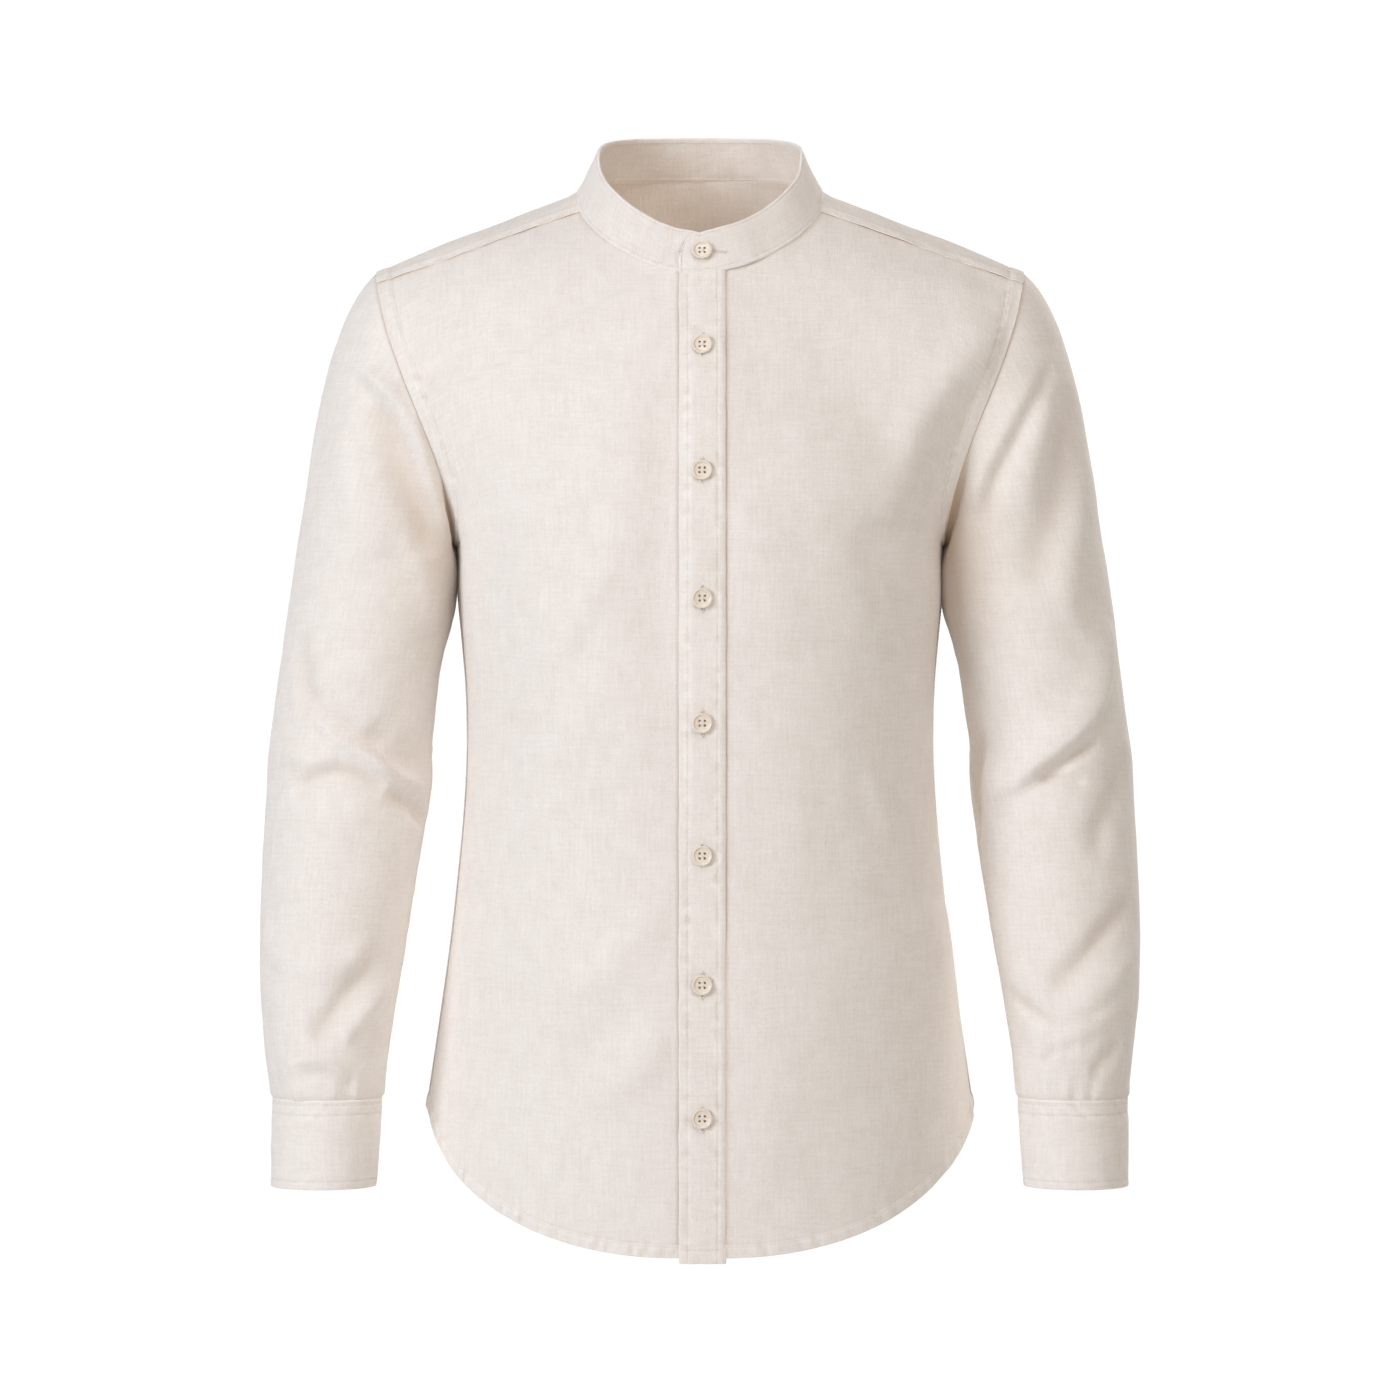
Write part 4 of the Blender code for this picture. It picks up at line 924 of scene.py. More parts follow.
def button_material(name, dark, light):
    """Pale horn-like resin with a faint grain."""
    made = Shader(name, light, roughness=0.34, coat_weight=0.15, coat_roughness=0.2)
    place = made.add("ShaderNodeTexCoord").outputs["Object"]
    grain = made.noise(place, (150, 420, 150), detail=3.0)
    cloud = made.noise(place, (90, 90, 90), detail=2.0)
    made.colour(made.total((grain, 0.8), (cloud, 1.0)), dark, light)
    made.bump(made.noise(place, (900, 900, 900)), 0.00002)
    return made.material


CLOTH = cloth_material("cloth_weave", (0.780, 0.712, 0.652), (0.895, 0.850, 0.805))
STRIP_CLOTH = cloth_material("strip_weave", (0.785, 0.713, 0.647), (0.903, 0.857, 0.808))
THREAD = thread_material()
RESIN = button_material("button_resin", (0.79, 0.67, 0.55), (0.90, 0.81, 0.70))
# The same resin made dark brown, as painted shade inside the buttons' holes
HOLE_SHADE_RESIN = button_material("button_holes_painted_shade", (0.42, 0.28, 0.17), (0.56, 0.40, 0.27))


# The panels


def sheet(node):
    """The cloth stands for a node, whose imported solid is hidden."""
    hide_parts(node)


def panel_uv(grid):
    """Each place's distance across from the middle of the body, and up."""
    dx, dy, _ = np.moveaxis(np.nan_to_num(np.diff(grid, axis=1)), -1, 0)
    start = np.nanmin(np.abs(grid[..., 0]), 1)[:, None]
    across = start + np.concatenate([0 * start, np.cumsum(np.hypot(dx, dy), 1)], 1)
    _, dy, dz = np.moveaxis(np.nan_to_num(np.diff(grid, axis=0)), -1, 0)
    bottom = grid[:1, :, 2]
    up = bottom + np.concatenate([0 * bottom, np.cumsum(np.hypot(dy, dz) * np.sign(dz + 1e-9), 0)])
    return stack(across, up)


def body_rows(step):
    """Rows of a front or of the back, closer together at the hem and at the yoke."""
    near_hem = ((0, FINE_STEP), (0.0050, 0.0006), (0.0100, 0.0009))
    return shares(*near_hem, (0.013, step), (0.692, FINE_STEP), (0.700, 0))


def body_lumps(x, z, away, fade, broad, seed):
    """The unevenness of worn cloth, in broad lumps and in small ones."""
    uneven = lumps(x, z * 0.4, broad, seed) * fade
    return uneven + lumps(x, z * 0.6, SMALL_LUMPS, seed + 1) * ease(away / 0.02)


def body_seams(along, up, from_top, seed):
    """The hem's turned band with its ripples, and those under the yoke."""
    seams = felled(up, HEM_WIDTH)
    seams += pucker(along + 0.35 * up, up - HEM_WIDTH / 2, HEM_RIPPLE, seed)
    return seams + pucker(along, from_top, TOP_RIPPLE, seed + 1)


def neck_strip(front, base, below, neck_row):
    """The part of a front under the placket, straight down from its end of the neck line."""
    angles = np.linspace(front.strip_angle, front_angle(V_NECK), 8)[:-1]
    edge = neck(angles)
    strip = np.full((len(base), len(angles), 3), np.nan)
    strip[below] = stack(edge[None, :, 0], base[below, :1, 1], base[below, :1, 2])
    strip[neck_row] = edge
    return strip


def add_front(front):
    """A front, worked out on the wearer's left and mirrored for the right."""
    side, seed = front.side, front.seed
    v = body_rows(CREASE_STEP)
    u = shares((0, FINE_STEP), (0.006, CREASE_STEP), (0.186, FINE_STEP), (0.200, 0))
    neck_row = np.argmin(np.abs(v - V_NECK))
    v[neck_row] = V_NECK
    below = v < V_NECK
    height = mix(HEM_FRONT, neck(front_angle(V_NECK))[2], np.minimum(v / V_NECK, 1))
    edge = stack(STRIP_HALF, centre_front(height), height)
    inner = np.where(below[:, None], edge, neck(front_angle(v)))
    base = evened(rows_between(FRONT_HANDLES, v, inner, body_edge(v, FRONT_SEAM_PHI), u), 60)
    beside_corner = bell(v - V_NECK, 0.06)[:, None] * bell(u, 0.5)
    base = mix(base, evened(base, 400), beside_corner[..., None])
    strip = neck_strip(front, base, below, neck_row)
    normals = normals_of(base)
    normals = np.concatenate([np.repeat(normals[:, :1], strip.shape[1], 1), normals], 1)
    grid = np.concatenate([strip, base], 1)
    uv = panel_uv(grid) * (side, 1)
    up, along, from_top, away = distances(grid)
    x, z = side * grid[..., 0], grid[..., 2]
    fade = ease(away / 0.014) * ease(from_top / 0.030)
    folds = crease_height(FRONT_CREASES, x, z) * fade
    # Beside the placket folds flatten out, but the right front keeps those that sink in
    across = np.concatenate([np.zeros(strip.shape[1]), u])
    flattened = folds * ease(across / 0.06 + 0.30)
    folds = np.where((folds > 0) | (side > 0), flattened, folds)
    folds += body_lumps(x, z, away, fade, FRONT_LUMPS, seed)
    sunk = groove(x - front.groove_x, front.groove_depth, front.groove_half)
    folds -= sunk * ease((V_NECK - v[:, None]) / 0.02)
    beside_armhole = ease((v - V_UNDERARM) / 0.02)[:, None]
    seams = felled(away, ARMHOLE_BAND) * beside_armhole
    seams += pucker(up, away - ARMHOLE_BAND, ARMHOLE_RIPPLE, seed + 2) * beside_armhole
    seams += body_seams(along, up, from_top, seed + 3)
    grid = grid + normals * np.nan_to_num(folds + seams)[..., None]
    grid, normals = on_side(side, grid, normals)
    at_neck = bell(along, 0.0030) * (v[:, None] >= V_NECK)
    at_placket = bell(x - front.shade_x, 0.0012) * (v[:, None] < V_NECK)
    shade = -SEAM_SHADE * np.nan_to_num(at_neck + at_placket + bell(from_top, 0.0026))
    obj = cloth_mesh(front.name + "_cloth", grid, uv, seams, shade=shade, flip=side < 0)
    hem = row_where(up, HEM_WIDTH - STITCH_INSET)
    rows = np.nonzero(v >= V_UNDERARM)[0]
    band = column_where(away[rows], ARMHOLE_BAND - STITCH_INSET)
    lines = [(hem, np.arange(grid.shape[1])), (rows, band)]
    thread = stitches(front.name, grid, normals, lines)
    sheet(front.name)


def add_back(seed):
    """The back, worked out on the whole width, with its felled side and armhole seams."""
    v = body_rows(BACK_STEP)
    u = shares((0, BACK_STEP), (0.198, FINE_STEP), (0.210, 0))
    armpit = UNDERARM - 0.010
    low = mix(HEM_BACK, armpit, v / V_UNDERARM)
    high = mix(armpit, YOKE_BACK, (v - V_UNDERARM) / (1 - V_UNDERARM))
    height = np.where(v < V_UNDERARM, low, high)
    inner = stack(0, read(CENTRE_BACK, "y", height), height)
    edge = body_edge(v, 360 + BACK_SEAM_PHI)
    half = evened(rows_between(BACK_HANDLES, v, inner, edge, u), 60, flip=True)
    grid = np.concatenate([mirrored(half)[:, :0:-1], half], 1)
    uv = panel_uv(half)
    uv = np.concatenate([(uv * (-1, 1))[:, :0:-1], uv], 1)
    normals = normals_of(grid, flip=True)
    middle = grid.shape[1] // 2
    up, along, from_top, _ = distances(grid)
    along = along - along[:, middle][:, None]
    away = np.abs(along[:, -1:]) - np.abs(along)
    x, z = grid[..., 0], grid[..., 2]
    fade = ease(away / 0.032) * ease(from_top / 0.030)
    folds = crease_height(BACK_CREASES, x, z) * fade
    folds += body_lumps(x, z, away, fade, BACK_LUMPS, seed)
    width = mix(SIDE_BAND, ARMHOLE_BAND, ease((v - V_UNDERARM) / 0.02))
    seams = felled(away, width[:, None]) * ease(from_top / 0.004)
    seams += pucker(up, away - width[:, None], ARMHOLE_RIPPLE, seed + 2)
    seams += body_seams(along, up, from_top, seed + 3)
    grid = grid + normals * (folds + seams)[..., None]
    obj = cloth_mesh("back_cloth", grid, uv, seams, flip=True)
    rows = np.arange(len(v))
    lines = [(row_where(up, HEM_WIDTH - STITCH_INSET), np.arange(grid.shape[1]))]
    for side in (1, -1):
        part = away[:, middle:] if side > 0 else away[:, middle::-1]
        for insets in (width - STITCH_INSET, np.full(len(v), EDGE_STITCH)):
            j = np.array([column_where(row[None], inset)[0] for inset, row in zip(insets, part)])
            lines.append((rows, middle + side * j))
    thread = stitches("back", grid, normals, lines)
    sheet("back")


def yoke_half(v, u):
    """The yoke's form on the wearer's left, with the ridge from neck to shoulder tip rounded off."""
    height = mix(YOKE_BACK, 0.014, np.minimum(v / V_BACK_NECK, 1))
    angle = mix(180, YOKE_SEAM_ANGLE, np.maximum(v - V_BACK_NECK, 0) / (1 - V_BACK_NECK))
    middle = stack(0, read(CENTRE_BACK, "y", height), height)
    inner = np.where((v < V_BACK_NECK)[:, None], middle, neck(angle))
    outer = armhole(mix(BACK_SEAM_PHI, FRONT_SEAM_PHI, v))
    half = evened(rows_between(YOKE_HANDLES, v, inner, outer, u), 40, flip=True)
    rounded = half.copy()
    for _ in range(70):
        rounded[1:-1] += (rounded[:-2] + rounded[2:] - 2 * rounded[1:-1]) / 4
    across = arc(half, 1)
    weight = bell(v - 0.37, 0.19)[:, None] * ease(across / 0.02) * ease((across[:, -1:] - across) / 0.02)
    return evened(mix(half, rounded, weight[..., None]), 80, flip=True)


def add_yoke(seed):
    """The yoke, worked out on one half and mirrored, with both halves welded in the middle."""
    v = shares((0, 0.0007), (0.010, CREASE_STEP), (0.150, 0.0007), (0.160, 0))
    u = shares((0, CREASE_STEP), (0.133, FINE_STEP), (0.145, 0))
    corner = np.argmin(np.abs(v - V_BACK_NECK))
    v[corner] = V_BACK_NECK
    half = yoke_half(v, u)
    normals = normals_of(half, flip=True)
    normals[: corner + 1, 0, 0] = 0
    normals = unit(normals)
    uv = panel_uv(half)
    up, along, from_front, away = distances(half)
    folds = lumps(half[..., 0], up, YOKE_LUMPS, seed) * ease(away / 0.02) * ease(along / 0.02)
    seams = felled(away, ARMHOLE_BAND)
    seams += pucker(up, away - ARMHOLE_BAND, ARMHOLE_RIPPLE, seed + 2)
    for seam in (up, from_front):
        seams += YOKE_RISE * ease((YOKE_BAND + 0.001 - seam) / 0.002)
        seams += pucker(along, seam - EDGE_STITCH, YOKE_RIPPLE, seed + 3)
        seams -= groove(seam - EDGE_STITCH, 0.00022)
    half = half + normals * (folds + seams)[..., None]
    half[-1] += unit(half[-1] - half[-2]) * YOKE_OVERHANG
    half[0] += unit(half[0] - half[1]) * YOKE_OVERHANG
    gap = np.full((len(v), 1, 3), np.nan)
    grid = np.concatenate([mirrored(half)[:, ::-1], gap, half], 1)
    uv = np.concatenate([(uv * (-1, 1))[:, ::-1], gap[..., :2], uv], 1)
    both = np.concatenate([seams[:, ::-1], gap[..., 0], seams], 1)
    obj = cloth_mesh("yoke_cloth", grid, uv, both, flip=True, weld=True)
    columns, rows = np.arange(len(u)), np.arange(len(v))
    lines = [
        (row_where(up, EDGE_STITCH), columns),
        (row_where(-from_front, -EDGE_STITCH), columns),
        (rows, column_where(away, ARMHOLE_BAND - STITCH_INSET)),
    ]
    pieces = []
    for i, j in lines:
        piece = sewn(half, normals, i, j)
        pieces += [piece, [mirrored(part) for part in piece]]
    thread = threads("yoke_stitches", pieces)
    sheet("yoke")


def patch(angle, z, place):
    """1 in the middle of a patch of the sleeve, and fading round it."""
    return bell(angle - place.angle, place.half_angle) * bell(z - place.z, place.half_height)


def add_sleeve(sleeve):
    """A sleeve with its seam under the arm, and the strip over its slit."""
    name, side, seed = "sleeve_" + sleeve.name, sleeve.side, sleeve.seed
    phi = spread((0, 2.2), (180, 3.7), (360, 0))[:-1]
    s = spread((0, 0.0022), (0.02, 0.0052), (CAP_SHARE, 0.0050), (0.985, 0.003), (1, 0))
    angle, share = np.meshgrid(phi, s)
    grid = sleeve_form(angle, share)
    normals = normals_of(grid, wrap=True)
    z = grid[..., 2]
    down = arc(grid, 0)
    to_cuff = down[-1:] - down
    metres = math.radians(ARM_RADIUS)
    around = angle * metres
    fade = ease(down / 0.007) * ease(to_cuff / 0.012)
    folds = sum(crease_height(sleeve.creases, a, z, metres) for a in (angle, angle - 360)) * fade
    shade = CREASE_SHADE * np.minimum(folds, 0)
    shade -= sleeve.armpit_shade * patch(angle, z, ARMPIT)
    shade -= SEAM_SHADE * (bell(down, 0.0022) + 0.35 * bell(to_cuff, 0.0028))
    c, sine = turn(angle)
    a, b = ARM_RADIUS * c + 0.3 * z, ARM_RADIUS * sine + 0.5 * z
    folds += lumps(a, b, SLEEVE_LUMPS, seed) * fade
    folds += lumps(a * 1.1, b * 1.2, SMALL_SLEEVE_LUMPS, seed + 1) * fade
    # The cloth folds in beside the armpit, in front of it and behind it
    tuck = ease((angle - sleeve.fold_start) / 30) * ease((176 - angle) / 22)
    tuck += 0.6 * ease((262 - angle) / 30) * ease((angle - 184) / 22)
    folds -= ARMPIT_FOLD * tuck * (down / FOLD_DOWN) * np.exp(1 - down / FOLD_DOWN)
    folds += sleeve.bulge * patch(angle, z, UNDER_ARMPIT) * fade
    folds += 0.0008 * patch(angle, z, UNDERARM_SEAM)
    folds += pucker(around, down, CAP_RIPPLE, seed + 2) * ease(down / 0.003)
    folds += pucker(around, to_cuff, CUFF_GATHERS, seed + 3) * ease(to_cuff / 0.003)
    folds -= SLEEVE_TUCK * (1 - ease(down / 0.0030)) + CUFF_TUCK * (1 - ease(to_cuff / 0.0045))
    seam = (angle - 180) * metres
    seams = 0.00045 * ease((seam + 0.0065) / 0.001) * ease((0.0003 - seam) / 0.0006)
    seams += pucker(z, seam + SLEEVE_STITCH, SLEEVE_SEAM_RIPPLE, seed + 4)
    grid = grid + normals * (folds + seams)[..., None]
    # Both ends reach under the pieces that they are sewn to
    grid[0] -= unit(grid[1] - grid[0]) * 0.0013
    grid[-1, :, 2] -= 0.0015
    rise = np.concatenate([to_cuff, to_cuff[:, :1]], 1)
    uv = stack((np.append(phi, 360) * metres)[None, :], rise)
    grid, normals = on_side(side, grid, normals)
    obj = cloth_mesh(name + "_cloth", grid, uv, seams * 0.5, shade=shade, wrap=True, flip=side < 0)
    column = index_at(180 - SLEEVE_STITCH / metres, phi)
    thread = stitches(name, grid, normals, [(np.arange(4, len(s) - 4), column)])
    add_sleeve_strip(sleeve, grid, normals, phi)
    sheet(name)


def add_sleeve_strip(sleeve, grid, normals, phi):
    """The placket over the slit: the sleeve's own points near the slit, moved out."""
    name = "sleeve_placket_" + sleeve.name
    columns = np.nonzero(np.abs(phi - SLIT_ANGLE) <= 15)[0]
    rows = np.nonzero(grid[:, 0, 2] < SLEEVE_END + 0.118)[0]
    part, out = grid[np.ix_(rows, columns)], normals[np.ix_(rows, columns)]
    rise, along, _, from_end = distances(part)
    edge = np.minimum(np.minimum(along, from_end), rise)
    push = 0.0012 + 0.00025 * ease(edge / 0.003) - groove(edge - EDGE_STITCH, 0.0002, 0.0008)
    part = part + out * push[..., None]
    uv = stack(along, part[..., 2])
    obj = cloth_mesh(name + "_cloth", part, uv, push, thickness=0.0011, flip=sleeve.side < 0)
    up_strip = np.arange(1, len(rows))
    lines = [(up_strip, 0.7), (up_strip, len(columns) - 1.7), (0.8, np.arange(1, len(columns) - 1))]
    thread = stitches(name, part, out, lines)
    sheet(name)


def cuff_tuck(phi):
    """How far the cuff has drawn in at an angle, from 0 to 1: fully where its over end covers it."""
    start = CUFF_OVER_END - 360
    eased = 1 - ease((phi - start) / (CUFF_LAP_DONE - start))
    return np.where(phi < start + CUFF_LAP_EASE, 1, eased)


def add_cuff(sleeve, seed):
    """A barrel cuff, stitched along both edges and down its over end."""
    name, side = "cuff_" + sleeve.name, sleeve.side
    phi = np.linspace(CUFF_UNDER_END, CUFF_OVER_END, 165)
    height = CUFF_TOP - CUFF_END
    drop = spread((0, 0.0010), (0.0075, 0.0007), (0.0100, 0.0030), (height - 0.0065, 0.0008), (height, 0))
    angle, depth = np.meshgrid(phi, drop)
    z = CUFF_TOP - depth
    grid = ring(CUFF, z, angle, -cuff_tuck(angle) * (DOUBLE + 2 * LAY_GAP))
    normals = normals_of(grid)
    _, along, _, from_end = distances(grid)
    folds = 0.0004 + lumps(along, z * 0.6, CUFF_LUMPS, seed) + lumps(along, z, SMALL_CUFF_LUMPS, seed + 1)
    seams = 0 * folds
    from_top = (depth - EDGE_STITCH, depth - CUFF_SECOND_STITCH)
    for line in (*from_top, height - depth - CUFF_END_STITCH, from_end - CUFF_END_STITCH):
        seams -= groove(line, 0.00045)
        seams += pucker(along + depth, line, CUFF_RIPPLE, seed + 2)
    grid = grid + normals * (folds + seams)[..., None]
    grid[0, :, 2] += 0.0006
    uv = stack(along, z)
    grid, normals = on_side(side, grid, normals)
    obj = cloth_mesh(name + "_cloth", grid, uv, seams, thickness=0.0018, flip=side < 0)
    columns = np.arange(6, len(phi) - 3)
    insets = (EDGE_STITCH, CUFF_SECOND_STITCH, height - CUFF_END_STITCH)
    lines = [(index_at(inset, drop), columns) for inset in insets]
    rows = np.arange(2, len(drop) - 2)
    lines.append((rows, column_where(from_end, CUFF_END_STITCH)[rows]))
    thread = stitches(name, grid, normals, lines)
    sheet(name)


def add_band(seed):
    """The collar band, whose over end has its upper corner rounded off."""
    # The last columns crowd towards the end, where the corner turns down
    crowded = turn(np.linspace(0, 80, 24))[1] / turn(80)[1]
    last = mix(BAND_LAST_COLUMNS, BAND_OVER_END, crowded)
    angles = np.concatenate([np.linspace(BAND_UNDER_END, BAND_LAST_COLUMNS + 1, 270), last])
    rise = BAND_RISE + BAND_LOWER
    h = (spread((0, 0.0006), (0.004, 0.0016), (rise - 0.004, 0.0006), (rise, 0)) - BAND_LOWER) / BAND_RISE
    angle, level = np.meshgrid(angles, h)
    lap = ease((BAND_LAP_START - angle) / BAND_LAP_ANGLE)
    normals = normals_of(band_form(angle, level, lap * (DOUBLE + BAND_LAY_GAP)), flip=True)
    into = 0.97 * np.clip((neck(BAND_OVER_END)[0] - neck(angle)[..., 0]) / BAND_ROUND_WIDTH + 1, 0, 1)
    into = np.where(angle < BAND_ROUND_START, into, 0)
    height = 1 - BAND_ROUND_HEIGHT * (1 - np.sqrt(1 - into**2))
    level = h[0] + (level - h[0]) * (height - h[0]) / (1 - h[0])
    grid = band_form(angle, level, lap * (DOUBLE + BAND_LAY_GAP)) + band_droop(angle)
    # Beside the middle of the front the upper edge rises a little
    near = np.abs(np.remainder(angle + 180, 360) - 180)
    grid[..., 2] += 0.0027 * np.maximum(level, 0) * (1 - np.exp(-near / 4)) * np.exp(-near / 14)
    up, along, from_top, from_end = distances(grid)
    folds = 0.0005 + lumps(along, up, BAND_LUMPS, seed) * ease(from_top / 0.01)
    folds += lumps(along, up, SMALL_BAND_LUMPS, seed + 1)
    folds += (0.0006 - 0.0010 * lap) * (1 - ease(up / 0.008))
    seams = 0 * folds
    for line in (up - EDGE_STITCH - BAND_LOWER, from_top - EDGE_STITCH, from_end - EDGE_STITCH):
        seams -= groove(line, 0.00042, 0.0006)
        seams += pucker(along + up, line, BAND_RIPPLE, seed + 2) * ease(from_end / 0.004)
    grid = grid + normals * (folds + seams)[..., None]
    uv = stack(along[len(h) // 2] + 0 * up, up)
    obj = cloth_mesh("collar_band_cloth", grid, uv, seams, thickness=BAND_WALL, flip=True)
    columns = np.arange(2, len(angles) - 2)
    small = {"pitch": 0.0024, "length": 0.0018}
    pieces = []
    for field, inset in ((up, EDGE_STITCH + BAND_LOWER), (-from_top, -EDGE_STITCH)):
        rows = row_where(field, inset)[columns]
        pieces.append(sewn(grid, normals, rows, columns, **small))
        pieces.append(sewn(grid - normals * BAND_WALL, -normals, rows, columns, **small))
    rows = np.arange(2, int(len(h) * 0.45))
    pieces.append(sewn(grid, normals, rows, column_where(from_end, EDGE_STITCH)[rows], **small))
    thread = threads("collar_band_stitches", pieces)
    sheet("collar_band")


def band_droop(angle):
    """The shift of the band's over end as it hangs down, growing towards its end."""
    past = np.maximum(BAND_DROOP_START - angle, 0) / (BAND_DROOP_START - BAND_OVER_END)
    return BAND_DROOP_ALONG * (BAND_DROOP * past)[..., None]


def add_placket(seed):
    """The front placket, with both rows of stitches, its buttonholes and the dips under the buttons."""
    # Columns crowd at both edges, at both rows of stitches and at the buttonholes
    left_marks = ((PLACKET_LEFT, 0.0006), (-0.0112, 0.0012), (-0.0102, 0.0006), (-0.0076, 0.0012))
    right_marks = ((0.0106, 0.0006), (0.0134, 0.0012), (0.0150, 0.0006), (PLACKET_RIGHT, 0))
    x = spread(*left_marks, (-0.0016, 0.0004), (0.0046, 0.0012), *right_marks)
    left, right = x - PLACKET_LEFT, PLACKET_RIGHT - x
    top = mix(PLACKET_TOP_LEFT, PLACKET_TOP_RIGHT, left / (PLACKET_RIGHT - PLACKET_LEFT))
    w = shares((0, 0.0010), (0.012, 0.0023), (PLACKET_LENGTH, 0))
    z = PLACKET_END + w[:, None] * (top - PLACKET_END)
    across = np.broadcast_to(x, z.shape)
    grid, normals = placket_point(across, z)
    folds = lumps(z * 0.7, across, PLACKET_LUMPS, seed)
    inside = ease((left - 0.004) / 0.003) * ease((right - 0.004) / 0.003)
    folds += lumps(z + 0.5 * x, 0.35 * across, PLACKET_WAVES, seed + 1) * inside
    folds += lumps(z, across, SMALL_PLACKET_LUMPS, seed + 5)
    folds -= 0.0006 * (1 - ease(right / 0.0035)) + 0.0003 * (1 - ease(np.minimum(left, right) / 0.0010))
    dip = np.minimum(crease_height(FRONT_CREASES, PLACKET_LEFT + 0 * z, z), 0)
    folds += dip * (1 - ease(left / 0.010))
    seams = -groove(z - PLACKET_END - PLACKET_END_STITCH, 0.00030)
    for line, line_seed in ((left - PLACKET_STITCH, seed + 2), (right - PLACKET_STITCH, seed + 3)):
        seams = seams - groove(line, 0.00035) + pucker(z, line, PLACKET_RIPPLE, line_seed)
    for button_z in BUTTON_HEIGHTS:
        # A button draws the cloth in under it, and its slit parts it
        near = np.hypot(x - BUTTON_X, (z - button_z) * 0.8)
        slit = ease((0.0088 - np.abs(z - button_z)) / 0.0006) * bell(x - BUTTON_X, 0.00035)
        folds = folds - 0.0005 * bell(near, 0.009) + 0.0004 * bell(near - 0.0125, 0.003) - 0.0006 * slit
    grid = grid + normals * (folds + seams)[..., None]
    grid[..., 0] += lumps(z, 0 * z, PLACKET_LEFT_WAVES, seed + 4) * (1 - ease(left / 0.006))
    grid[..., 0] += lumps(z, 0 * z, PLACKET_RIGHT_WAVES, seed + 6) * (1 - ease(right / 0.006))
    obj = cloth_mesh("front_placket_cloth", grid, stack(across, z), seams, STRIP_CLOTH, thickness=0.0013)
    rows, columns = np.arange(2, len(w)), np.arange(1, len(x) - 1)
    sides = (PLACKET_LEFT + PLACKET_STITCH, PLACKET_RIGHT - PLACKET_STITCH)
    lines = [(rows, index_at(place, x)) for place in sides]
    lines.append((index_at(PLACKET_END_STITCH / PLACKET_LENGTH, w), columns))
    thread = stitches("front_placket", grid, normals, lines)
    holes = [buttonhole(BUTTON_X, z) for z in BUTTON_HEIGHTS]
    satin = threads("front_placket_buttonholes", sum(holes, []), 0.00022, 0.00022)
    sheet("front_placket")


def satin_bars(middle, along, up, reach, half_width=0.00115, slit=0.0003):
    """Close stitches down both sides of a slit, and across its two ends."""
    across = np.cross(up, along)
    beside = np.arange(-reach, reach + 1e-6, 0.00042)
    at_end = np.arange(-0.0006, 0.00061, 0.0004)
    rows = [(beside, sign * slit, sign * half_width) for sign in (1, -1)]
    rows += [(end + at_end, -half_width, half_width) for end in (-reach, reach)]
    pieces = []
    for at, start, end in rows:
        line = middle + along * at[:, None]
        ups = np.repeat(up[None], len(at), 0)
        pieces.append((line + across * start, line + across * end, ups))
    return pieces


def buttonhole(x, z):
    """An upright buttonhole in the placket, under a button at x and z."""
    middle, up = placket_point(np.array(x), np.array(z - 0.0002), LAY_GAP + STRIP + 0.0001)
    along = np.cross(np.array((1.0, 0, 0)), up)
    return satin_bars(middle, unit(along), up, 0.0090)


# Buttons


HOLE_RADIUS = 0.00085
HOLE_X, HOLE_Y = 0.00175, 0.00160
# Radius and height, from the middle of the face, over the rim and back under it
BUTTON_PROFILE = (
    (0.0000, 0.00150), (0.0046, 0.00152), (0.0051, 0.00160), (0.0054, 0.00185), (0.0056, 0.00225),
    (0.0059, 0.00252), (0.0063, 0.00258), (0.0067, 0.00238), (0.00695, 0.00190), (0.0070, 0.00140),
    (0.0068, 0.00080), (0.0062, 0.00025), (0.0050, 0.00000), (0.0000, 0.00000),
)
BUTTON_FACE = 0.00155


def button_mesh():
    """A turned button with four holes, its back at z = 0 and its face towards +Z."""
    points = [(radius, 0, height) for radius, height in BUTTON_PROFILE]
    profile = bpy.data.meshes.new("button_profile")
    profile.from_pydata(points, [(i, i + 1) for i in range(len(points) - 1)], [])
    blank = add_object("button_blank", profile)
    screw = blank.modifiers.new("Screw", "SCREW")
    screw.steps = screw.render_steps = 64
    screw.use_merge_vertices = True
    screw.merge_threshold = 0.00001
    cutters = [blank]
    for x in (-HOLE_X, HOLE_X):
        for y in (-HOLE_Y, HOLE_Y):
            through = {"radius": HOLE_RADIUS, "depth": 0.02, "vertices": 16}
            bpy.ops.mesh.primitive_cylinder_add(**through, location=(x, y, 0))
            cutters.append(bpy.context.object)
            hole = blank.modifiers.new("Hole", "BOOLEAN")
            hole.object = cutters[-1]
    graph = bpy.context.evaluated_depsgraph_get()
    mesh = bpy.data.meshes.new_from_object(blank.evaluated_get(graph))
    for obj in cutters:
        bpy.data.objects.remove(obj, do_unlink=True)
    mesh.shade_smooth()
    mesh.set_sharp_from_angle(angle=math.radians(40))
    mesh.materials.clear()
    mesh.materials.append(RESIN)
    mesh.materials.append(HOLE_SHADE_RESIN)
    # The holes' walls get the dark resin, as painted shade inside the holes
    for face in mesh.polygons:
        x, y, _ = face.center
        inside = math.hypot(abs(x) - HOLE_X, abs(y) - HOLE_Y) < HOLE_RADIUS * 1.02
        face.material_index = 1 if inside and abs(face.normal.z) < 0.5 else 0
    return mesh


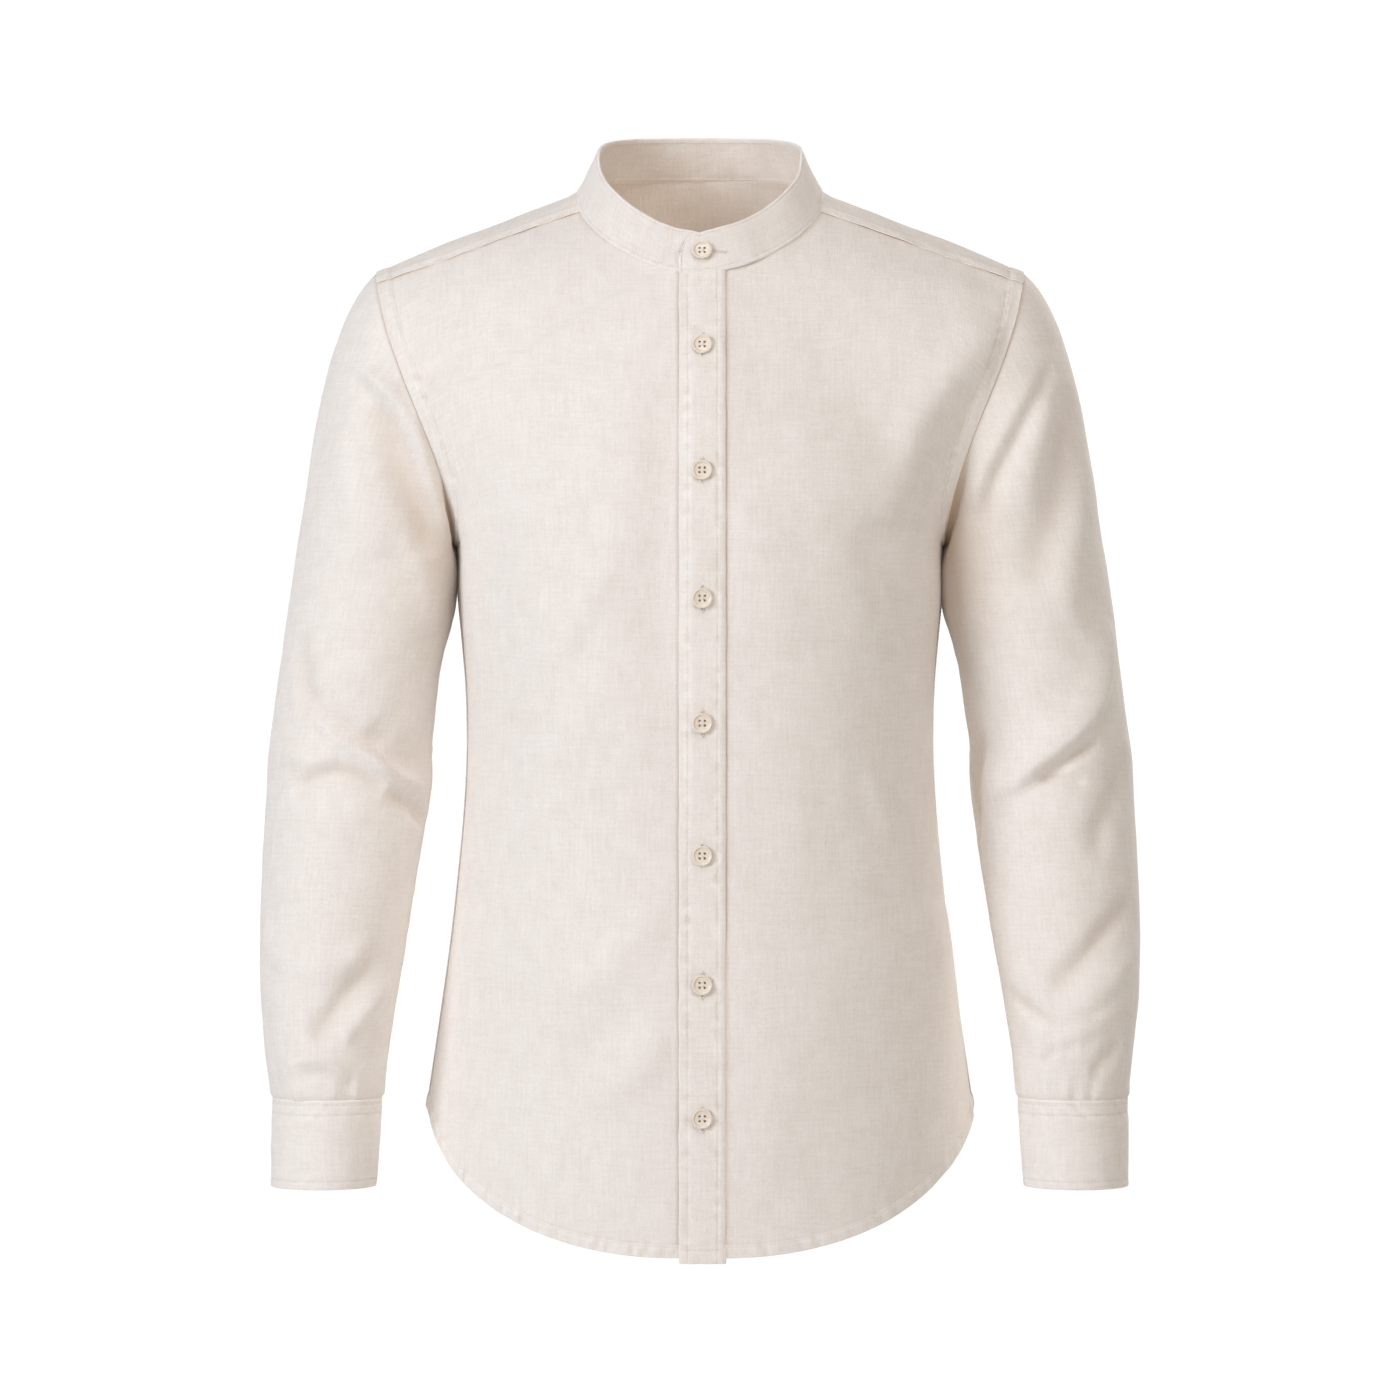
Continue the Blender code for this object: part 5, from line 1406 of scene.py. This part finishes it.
def add_button(node, mesh, place, normal):
    """A button and its crossed thread, with the middle of its back at a place, facing along the normal."""
    place, normal = Vector(place), Vector(normal)
    side = Vector((0, 0, 1)).cross(normal).normalized()
    turned = Matrix((side, normal.cross(side), normal)).transposed()
    obj = add_object(node + "_resin", mesh)
    obj.matrix_world = Matrix.Translation(place + normal * BUTTON_STAND) @ turned.to_4x4()
    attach(obj, "root")
    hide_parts(node)
    ends = []
    for sign in (1, -1):
        start = np.array((-HOLE_X, -HOLE_Y * sign, 0)) * 0.86
        across = unit(np.array((-start[1], start[0], 0)))
        ends += [(start + across * shift, across * shift - start) for shift in (-0.00022, 0.00022)]
    local = np.array(ends) + np.array((0, 0, BUTTON_FACE + BUTTON_STAND))
    world = local @ np.array(turned).T + np.array(place)
    ups = np.repeat(np.array(normal)[None], len(ends), 0)
    threads(node + "_thread", [(world[:, 0], world[:, 1], ups)], 0.00024, 0.00030)


def add_buttons():
    """The seven front buttons, the collar's and one on each cuff."""
    mesh = button_mesh()
    for number, z in enumerate(BUTTON_HEIGHTS, start=1):
        place, normal = placket_point(np.array(BUTTON_X), np.array(z), LAY_GAP + STRIP - 0.0003)
        add_button(f"button_{number}", mesh, place, normal)
    out = DOUBLE + BAND_LAY_GAP + 0.0001
    angle = np.array(-360 + math.degrees(math.asin(BUTTON_X / NECK_HALF_WIDTH)))
    place = band_form(angle, 0.5, out)
    normal = unit(band_form(angle, 0.5, out + DOUBLE) - place)
    place = place + band_droop(angle) + normal * 0.0008
    add_button("button_collar", mesh, place, normal)
    add_collar_hole(place, normal)
    angle, middle = np.array(float(CUFF_BUTTON_ANGLE)), np.array((CUFF_TOP + CUFF_END) / 2)
    down = ring(CUFF, CUFF_END, angle) - ring(CUFF, CUFF_TOP, angle)
    across = ring(CUFF, middle, angle + 1) - ring(CUFF, middle, angle - 1)
    place, normal = ring(CUFF, middle, angle, 0.0005), unit(np.cross(across, down))
    for sleeve in SLEEVES:
        add_button("cuff_button_" + sleeve.name, mesh, *on_side(sleeve.side, place, normal))


def add_collar_hole(place, normal):
    """The collar's buttonhole runs along the band, to the wearer's left of the button."""
    across = unit(np.cross(np.array((0, 0, 1.0)), normal))
    line = place + across * 0.0078 + normal * 0.0004
    threads("collar_buttonhole", satin_bars(line, across, normal, 0.0080), 0.00021, 0.00022)


# Studio


# The powers and colours of key, top and fill are rounded from a least-squares fit to the photo's tones
MIDDLE = (0, 0, -0.36)
LIGHT_DISTANCE = 3.2
LIGHT_SIZE = 1.6
Light = namedtuple("Light", "name azimuth elevation power colour")
LIGHTS = (
    Light("key", -49, 12, 59.5, (0.885, 0.93, 1.0)),
    Light("top", 0, 60, 24, (1.0, 0.965, 0.995)),
    Light("fill", 40, 20, 26, (1.0, 0.945, 0.89)),
    Light("back_left", -145, 22, 24, (1.0, 1.0, 1.0)),
    Light("back_right", 145, 24, 52, (1.0, 1.0, 1.0)),
)


def add_light(light):
    """A round soft light aimed at the middle. Azimuth 0 is the camera's side, and it grows to the right."""
    lamp = bpy.data.lights.new(light.name, "AREA")
    lamp.shape = "DISK"
    lamp.size, lamp.energy, lamp.color = LIGHT_SIZE, light.power, light.colour
    obj = add_object(light.name, lamp)
    c, sine = turn(light.azimuth)
    level, rise = turn(light.elevation)
    away = Vector((sine * level, -c * level, rise))
    obj.location = Vector(MIDDLE) + away * LIGHT_DISTANCE
    obj.rotation_euler = away.to_track_quat("Z", "Y").to_euler()


def add_glow():
    """Daylight that the thin cloth lets through, as a warm light inside."""
    glow = bpy.data.lights.new("glow", "POINT")
    glow.energy, glow.shadow_soft_size, glow.color = 0.17, 0.06, (1.0, 0.78, 0.56)
    add_object("glow", glow).location = (0, -0.01, -0.16)


def add_floor():
    """A wide round floor well below the shirt."""
    bpy.ops.mesh.primitive_circle_add(vertices=96, radius=3.4, fill_type="NGON", location=(0, 0, -1.5))
    floor = bpy.context.object
    floor.name = "floor"
    made = Shader("floor_paint", (0.92, 0.91, 0.90), roughness=0.7)
    place = made.add("ShaderNodeTexCoord").outputs["Object"]
    made.colour(made.noise(place, (3, 3, 3), detail=3.0), (0.90, 0.89, 0.88), (0.94, 0.93, 0.92))
    floor.data.materials.append(made.material)


def add_world():
    """White behind the shirt for the camera, and a weak warm light from all round for the cloth."""
    world = bpy.data.worlds.new("studio")
    world.use_nodes = True
    bpy.context.scene.world = world
    tree = world.node_tree
    sky = tree.nodes["Background"]
    seen = add_node(tree, "ShaderNodeLightPath").outputs["Is Camera Ray"]
    colours = {0: seen, 6: (1.0, 0.92, 0.81, 1), 7: (1, 1, 1, 1)}
    tint = add_node(tree, "ShaderNodeMix", colours, data_type="RGBA")
    tree.links.new(tint.outputs[2], sky.inputs["Color"])
    strength = add_node(tree, "ShaderNodeMix", {"Factor": seen, "A": 0.175, "B": 1.05})
    tree.links.new(strength.outputs["Result"], sky.inputs["Strength"])


def add_camera():
    """A long lens straight ahead, level with the middle of the shirt."""
    camera = bpy.data.cameras.new("camera")
    camera.lens = 130.4
    camera.sensor_width = 36
    obj = add_object("camera", camera)
    obj.location = (0, -3.6, -0.361)
    obj.rotation_euler = (math.radians(90), 0, 0)
    bpy.context.scene.camera = obj


def main():
    add_camera()
    for light in LIGHTS:
        add_light(light)
    add_glow()
    add_floor()
    add_world()
    bpy.context.scene.view_settings.view_transform = "Standard"
    for front in FRONTS:
        add_front(front)
    add_back(21)
    add_yoke(31)
    for sleeve in SLEEVES:
        add_sleeve(sleeve)
    for sleeve in SLEEVES:
        add_cuff(sleeve, sleeve.seed + 20)
    add_band(41)
    add_placket(51)
    add_buttons()


main()
